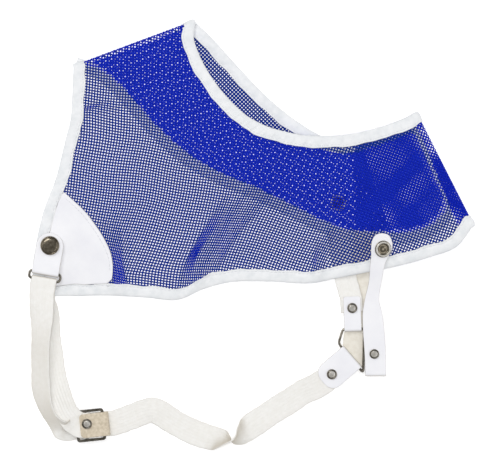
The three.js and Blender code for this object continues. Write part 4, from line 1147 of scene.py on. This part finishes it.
patch_stations = stations_of(FRONT_SECTIONS, *PATCH_ROWS, PATCH_STEPS, True)
patch_total = section_lengths(patch_stations)
patch_edge = catmull(picked(PATCH_EDGE, "x", "y"), np.linspace(0, 1, PATCH_EDGE_STEPS), spacing=0)
patch_across = patch_stations["arm"] - patch_stations["out"]
patch_shares = [reach_to(patch_edge, o[:2], a[:2]) for o, a in zip(patch_stations["out"], patch_across)]
patch_reach = np.array(patch_shares) * patch_total
tape_depth = TAPE_WIDTH * slant(patch_stations, "out")
patch_start = np.minimum(tape_depth - PATCH_UNDER_TAPE, patch_reach - PATCH_LEAST)
patch_top = []
patch_bottom = []
for share, height in zip(PATCH_COLUMNS, PATCH_HEIGHTS):
    points = on_patch(patch_start + (patch_reach - patch_start) * share)
    patch_top.append(points + UP * (PATCH_LIFT + PATCH_THICK * height))
    patch_bottom.append(points + UP * PATCH_LIFT)
patch_rings = np.stack(patch_top + patch_bottom[::-1], axis=1)
corner_leather = swept("corner_leather", patch_rings, "leather", "leather", ["corner_patch"])
seam = on_patch(np.maximum(patch_reach - PATCH_STITCH_INSET, patch_start))
patch_stitches = Builder()
add_stitches(patch_stitches, seam[PATCH_SEAM] + UP * (PATCH_LIFT + PATCH_THICK), STITCH_LIFT)
patch_stitches.piece("patch_stitches", "stitch", "leather")


# Straps

BAND_WAVER = ([(9.0, 0.12), (31.0, 0.2)], [(8.0, 0.12), (27.0, 0.2)])


def square_to(along, across):
    """Directions across a strip, made square to the directions along it."""
    return unit(across - along * (across * along).sum(axis=1, keepdims=True))


def band_piece(name, node, route, width, thick, steps, seed, look="elastic", slot="elastic"):
    """Flat band along a route, with the slight waviness of worn cloth, kept above the table."""
    shares = np.linspace(0, 1, steps)
    centres = catmull(picked(route, "x", "y", "z"), shares)
    lead, tilt = np.radians(picked(route, "lead", "tilt")).T
    leads = np.stack([np.cos(lead) * np.cos(tilt), np.sin(lead) * np.cos(tilt), np.sin(tilt)], axis=1)
    along = tangents(centres)
    across = square_to(along, catmull(leads, shares, spacing=0))
    length = arc_length(centres)
    left, right = (width / 2 + ripple(length, waves, seed + k) for k, waves in enumerate(BAND_WAVER))
    rings = ribbon_rings(centres, across, np.cross(along, across), left, right, thick)
    rings[..., 2] -= np.minimum(rings[..., 2].min(axis=1), 0)[:, None]
    swept(name, rings, look, slot, [node], uv=strip_uv(length, 2 * width, rings.shape[1]))


band_piece("chest_elastic", "elastic_strap", STRAP_ROUTE, STRAP_WIDTH, STRAP_THICK, steps=700, seed=61)
band_piece(
    "short_elastic", "side_elastic", SIDE_ELASTIC_ROUTE, SIDE_ELASTIC_WIDTH, STRAP_THICK, steps=60, seed=65
)
# The lower strip's beige is painted shade
band_piece(
    "lower_strip", "keeper_strip", KEEPER_ROUTE, KEEPER_WIDTH, LEATHER_THICK,
    steps=60, seed=67, look="painted_shade_beige", slot="suede",
)


# Folded leather

# Shares of a tab's length: where its layers rise from their levels to the bend, and where they meet it
TAB_TOP_RISE = np.array([-0.45, -0.2, 0.0])
TAB_LOW_RISE = np.array([0.0, 0.35, 0.6])
TAB_TOP_BEND = -0.12
TAB_LOW_BEND = -0.15


def fold_line(top, bottom, s, z, radius):
    """Side line (s, z) of a strip that runs along the top, round a bend and back along the bottom."""
    angles = math.pi / 2 - np.linspace(0, math.pi, 17)
    bend = np.stack([s + radius * np.cos(angles), z + radius * np.sin(angles)], axis=1)
    return np.vstack([top, bend, bottom])


def tab_piece(tab):
    """Leather tab folded round a bar, with a rounded end."""
    high = tab["bend"][1] + tab["bend"][2]
    low = tab["bend"][1] - tab["bend"][2]
    length, back, end = tab["length"], tab["back"], tab["end"]
    start = -length + end * (1 - np.cos(np.linspace(0.06, math.pi / 2, 12)))
    top_s = np.concatenate([start, np.linspace(start[-1], TAB_TOP_BEND * length, 14)[1:]])
    top_known = [tab["top_z"], tab["top_z"] * 0.2 + high * 0.8, high]
    top_z = np.interp(top_s, TAB_TOP_RISE * length, top_known)
    low_s = np.linspace(TAB_LOW_BEND * back, -back, 14)
    low_known = [low, tab["back_z"] * 0.4 + low * 0.6, tab["back_z"]]
    low_z = np.interp(-low_s, TAB_LOW_RISE * back, low_known)
    line = fold_line(np.stack([top_s, top_z], axis=1), np.stack([low_s, low_z], axis=1), *tab["bend"])
    centres = np.stack([line[:, 0], np.zeros(len(line)), line[:, 1]], axis=1)
    across = np.broadcast_to([0.0, 1.0, 0.0], centres.shape)
    normal = np.cross(tangents(centres), across)
    inset = np.clip(1 - (line[:, 0] + length) / end, 0, 1)
    half = tab["width"] / 2 - end * (1 - np.sqrt(1 - inset**2))
    rings = turned(ribbon_rings(centres, across, normal, half, half, LEATHER_THICK), tab)
    swept(tab["node"] + "_leather", rings, tab["slot"], tab["slot"], [tab["node"]])


def snap_strap_piece():
    """Long leather strap that drapes from the panel down to a folded end; s runs down the strap."""
    fold_s = -SNAP_STRAP_FOLD_Y
    top = catmull(picked(SNAP_STRAP_DRAPE, "y", "z") * (-1, 1), np.linspace(0, 1, 60))
    start = top[0, 0] + SNAP_STRAP_ROUND * (1 - np.cos(np.linspace(0, math.pi / 2, 8)))
    start_z = np.interp(start, top[:, 0], top[:, 1])
    top = np.vstack([np.stack([start, start_z], axis=1), top[top[:, 0] > start[-1] + 0.5]])
    flat_s = np.linspace(SNAP_STRAP_FLAT, fold_s - SNAP_STRAP_BACK[0], 14)
    flat = np.stack([flat_s, np.full_like(flat_s, TOP_LAYER_Z)], axis=1)
    bottom = np.stack([fold_s - SNAP_STRAP_BACK, np.full_like(SNAP_STRAP_BACK, LOW_LAYER_Z)], axis=1)
    line = fold_line(np.vstack([top, flat]), bottom, fold_s, RING_Z, TOP_LAYER_Z - RING_Z)
    s, z, none = line[:, 0], line[:, 1], np.zeros(len(line))
    plan = picked(SNAP_STRAP_PLAN, "y", "left", "right") * (-1, 1, 1)
    plan_s, plan_left, plan_right = catmull(plan, np.linspace(0, 1, 200)).T
    left = np.interp(s, plan_s, plan_left)
    right = np.interp(s, plan_s, plan_right)
    centres = np.stack([(left + right) / 2, -s, z], axis=1)
    along = tangents(np.stack([none, -s, z], axis=1))
    roll = np.interp(-s, [SNAP_HEAD_ROLL_END, SNAP_CENTRE[1]], [0, SNAP_HEAD_ROLL])
    roll = np.radians(np.where(np.arange(len(line)) < len(top), roll, 0))
    across = square_to(along, np.stack([np.cos(roll), none, -np.sin(roll)], axis=1))
    half = (right - left) / 2
    rings = ribbon_rings(centres, across, np.cross(across, along), half, half, LEATHER_THICK)
    swept("snap_strap_leather", rings, "leather", "leather", ["snap_strap"])


for tab in TABS:
    tab_piece(tab)
snap_strap_piece()


# Metal

def rounded_corners(corners, z):
    """Closed line round corners in plan, each rounded off, at a height."""
    corners = np.array(corners, float)
    line = []
    for before, corner, after in zip(np.roll(corners, 1, axis=0), corners, np.roll(corners, -1, axis=0)):
        ahead = unit(after - corner)
        enter = corner + unit(before - corner) * RING_CORNER_RADIUS
        leave = corner + ahead * RING_CORNER_RADIUS
        for t in np.linspace(0, 1, RING_CORNER_STEPS):
            line.append((1 - t) ** 2 * enter + 2 * t * (1 - t) * corner + t * t * leave)
        gap = np.linalg.norm(after - corner) - 2 * RING_CORNER_RADIUS
        line.extend(leave + ahead * gap * k / RING_SIDE_STEPS for k in range(1, RING_SIDE_STEPS))
    return np.column_stack([line, np.full(len(line), z)])


def ring_piece(name, line, replaces):
    rings = tube_rings(line, WIRE_RADIUS, WIRE_SIDES, closed=True)
    swept(name, rings, "nickel", "nickel", replaces, closed_path=True)


side = LEFT_RING["length"] / 2
left_corners = [[0, -side], [LEFT_RING["depth"], -side], [LEFT_RING["depth"], side], [0, side]]
ring_piece("left_wire_ring", turned(rounded_corners(left_corners, 0), LEFT_RING), ["left_ring"])
ring_piece("side_wire_ring", rounded_corners(SIDE_RING_CORNERS, RING_Z), ["side_ring"])

# Outlines of round heads: radius and height, from the lower end of the axis to its upper end
AXIS = 0.02
STUD = [[AXIS, 0.0], [5.6, 0.0], [6.0, 0.4], [5.6, 1.0], [3.0, 1.2], [AXIS, 1.2]]
# A disc of bright nickel on a rivet's cap, painted highlight
RIVET_HIGHLIGHT_DISC = [[AXIS, 1.2]] + from_rim(RIVET_RADIUS, [[1.5, 1.2], [1.5, 1.45], [2.0, 1.6]]) + [[AXIS, 1.62]]
SOCKET_SHANK = [[AXIS, -1.0], [1.6, -1.0], [1.6, 0.0]]
SOCKET_CUP = from_rim(SNAP_RING_RADIUS, [[0.2, 0.0], [0, 0.3], [0.2, 0.7], [2.2, 0.7], [2.5, 0.2]])
SNAP_SOCKET = SOCKET_SHANK + SOCKET_CUP + [[2.4, 0.2], [1.9, 0.6], [AXIS, 0.7]]
SNAP_RIM_STEPS = [[2.2, 0.75], [0.7, 0.75], [0.6, 1.2], [0.9, 1.6], [1.5, 1.7], [2.0, 1.4]]
SNAP_RIM = from_rim(SNAP_RING_RADIUS, SNAP_RIM_STEPS)

# Rim of a cap: inward from its radius, and share of its height
CAP_EDGE = [[0.35, 0.0], [0.05, 0.2], [0, 0.45], [0.15, 0.7], [0.5, 0.86]]
CAP_GROOVE = [[0.8, 0.84], [1.05, 0.6], [1.3, 0.6], [1.6, 0.8], [2.4, 0.9]]
CAP_SHANK = [[AXIS, -1.2], [1.5, -1.2], [1.6, 0.0]]
CAP_HEIGHT = 1.5
LEVEL = np.eye(3)


def flat_outline(radius, height):
    """Flat cap in a rolled rim, on a short shank."""
    rim = from_rim(radius, [[inward, share * height] for inward, share in CAP_EDGE + CAP_GROOVE])
    return CAP_SHANK + rim + [[0.4 * radius, 0.95 * height], [AXIS, 0.97 * height]]


def head_piece(name, outline, centre, replaces, look="nickel", tilt=LEVEL, hollow=False):
    swept(name, lathe_rings(outline, centre, tilt), look, "nickel", replaces, closed_path=hollow)


tabs_by_node = {tab["node"]: tab for tab in TABS}
for rivet in RIVETS:
    centre = turned([-rivet["along"], rivet["side"], rivet["lift"]], tabs_by_node[rivet["tab"]])
    outline = flat_outline(rivet["radius"], rivet["height"])
    head_piece(rivet["node"] + "_head", outline, centre, [rivet["node"]], rivet["finish"])
    # Painted highlight: a bright disc on every nickel rivet
    if rivet["finish"] == "nickel":
        head_piece(rivet["node"] + "_highlight", RIVET_HIGHLIGHT_DISC, centre, [], "bright")
strap_cap = flat_outline(RIVET_RADIUS - 0.2, CAP_HEIGHT)
head_piece("snap_strap_rivet_head", strap_cap, SNAP_STRAP_RIVET, ["snap_strap_rivet"])
# Painted highlight on the strap's rivet
head_piece("snap_strap_rivet_highlight", RIVET_HIGHLIGHT_DISC, SNAP_STRAP_RIVET, [], "bright")
head_right = unit(np.array([1.0, 0.0, -math.tan(math.radians(SNAP_HEAD_ROLL))]))
head_ahead = np.array([0.0, 1.0, math.tan(math.radians(SNAP_HEAD_PITCH))])
head_up = unit(np.cross(head_right, head_ahead))
HEAD_TILT = np.stack([head_right, np.cross(head_up, head_right), head_up], axis=1)
socket_centre = SNAP_CENTRE + head_up - UP
# The socket in dark antique metal, painted shade in its cup, and its rim in bright nickel, painted
# highlight
head_piece("snap_socket", SNAP_SOCKET, socket_centre, ["snap_ring"], "antique", HEAD_TILT)
head_piece("snap_socket_rim", SNAP_RIM, socket_centre, [], "bright", HEAD_TILT, True)
head_piece("stud_on_panel", STUD, STUD_CENTRE, ["panel_stud"])
# The side snap likewise: painted shade in its cup, painted highlight on its rim
head_piece("side_snap_base", SNAP_SOCKET, SIDE_SNAP_CENTRE, ["side_snap"], "antique")
head_piece("side_snap_rim", SNAP_RIM, SIDE_SNAP_CENTRE, [], "bright", LEVEL, True)

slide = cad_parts["slide_buckle"]
slide.data.materials.clear()
slide.data.materials.append(MATERIALS["nickel"])
edge_round = slide.modifiers.new("rounded_edges", "BEVEL")
edge_round.width = 0.0005
edge_round.segments = 3
edge_round.limit_method = "ANGLE"

# Floor, light and camera, in metres
FLOOR_HALF = 3
FLOOR_CORNERS = [(-1, -1), (1, -1), (1, 1), (-1, 1)]
floor_mesh = bpy.data.meshes.new("floor")
floor_mesh.from_pydata([(FLOOR_HALF * x, FLOOR_HALF * y, 0) for x, y in FLOOR_CORNERS], [], [(0, 1, 2, 3)])
floor = bpy.data.objects.new("floor", floor_mesh)
bpy.context.scene.collection.objects.link(floor)
floor_material, _, floor_shader = new_material("pale_table", 0.9)
floor_shader.inputs["Base Color"].default_value = (0.93, 0.93, 0.93, 1)
floor_shader.inputs["Emission Color"].default_value = (1, 1, 1, 1)
floor_shader.inputs["Emission Strength"].default_value = 0.2
floor_mesh.materials.append(floor_material)
floor.location.z = -0.0002

world = bpy.data.worlds.new("studio")
world.use_nodes = True
world.node_tree.nodes["Background"].inputs["Color"].default_value = (1, 1, 1, 1)
world.node_tree.nodes["Background"].inputs["Strength"].default_value = 0.3
bpy.context.scene.world = world

LIGHTS = table(["name", "place", "size", "power", "mirrored"], [
    ["top_light", (0.0, 0.0, 3.2), 0.8, 50, False],
    ["key_light", (-0.7, 0.9, 1.7), 0.9, 11, True],
    ["fill_light", (1.1, -0.6, 1.5), 1.2, 4, True],
    ["left_light", (-1.6, 0.3, 0.5), 1.0, 3, True],
    ["right_light", (1.6, 0.3, 0.5), 1.0, 3, True],
])
for row in LIGHTS:
    data = bpy.data.lights.new(row["name"], "AREA")
    data.shape = "DISK"
    data.size = row["size"]
    data.energy = row["power"]
    light = bpy.data.objects.new(row["name"], data)
    light.location = row["place"]
    light.rotation_mode = "QUATERNION"
    light.rotation_quaternion = (Vector() - Vector(row["place"])).to_track_quat("-Z", "Y")
    light.visible_glossy = row["mirrored"]
    bpy.context.scene.collection.objects.link(light)

CAMERA_HEIGHT = 3.0
VIEW_WIDTH = 0.4  # of the table across the picture
SENSOR_WIDTH = 36
PHOTO_CENTRE = (np.array([0.0, -3.6, 0.0]) - LAYOUT_CENTRE) / 1000
camera_data = bpy.data.cameras.new("camera")
camera_data.sensor_width = SENSOR_WIDTH
camera_data.lens = SENSOR_WIDTH * CAMERA_HEIGHT / VIEW_WIDTH
camera_data.clip_end = 20
camera = bpy.data.objects.new("camera", camera_data)
camera.location = (PHOTO_CENTRE[0], PHOTO_CENTRE[1], CAMERA_HEIGHT)
bpy.context.scene.collection.objects.link(camera)
bpy.context.scene.camera = camera
bpy.context.scene.view_settings.view_transform = "Standard"
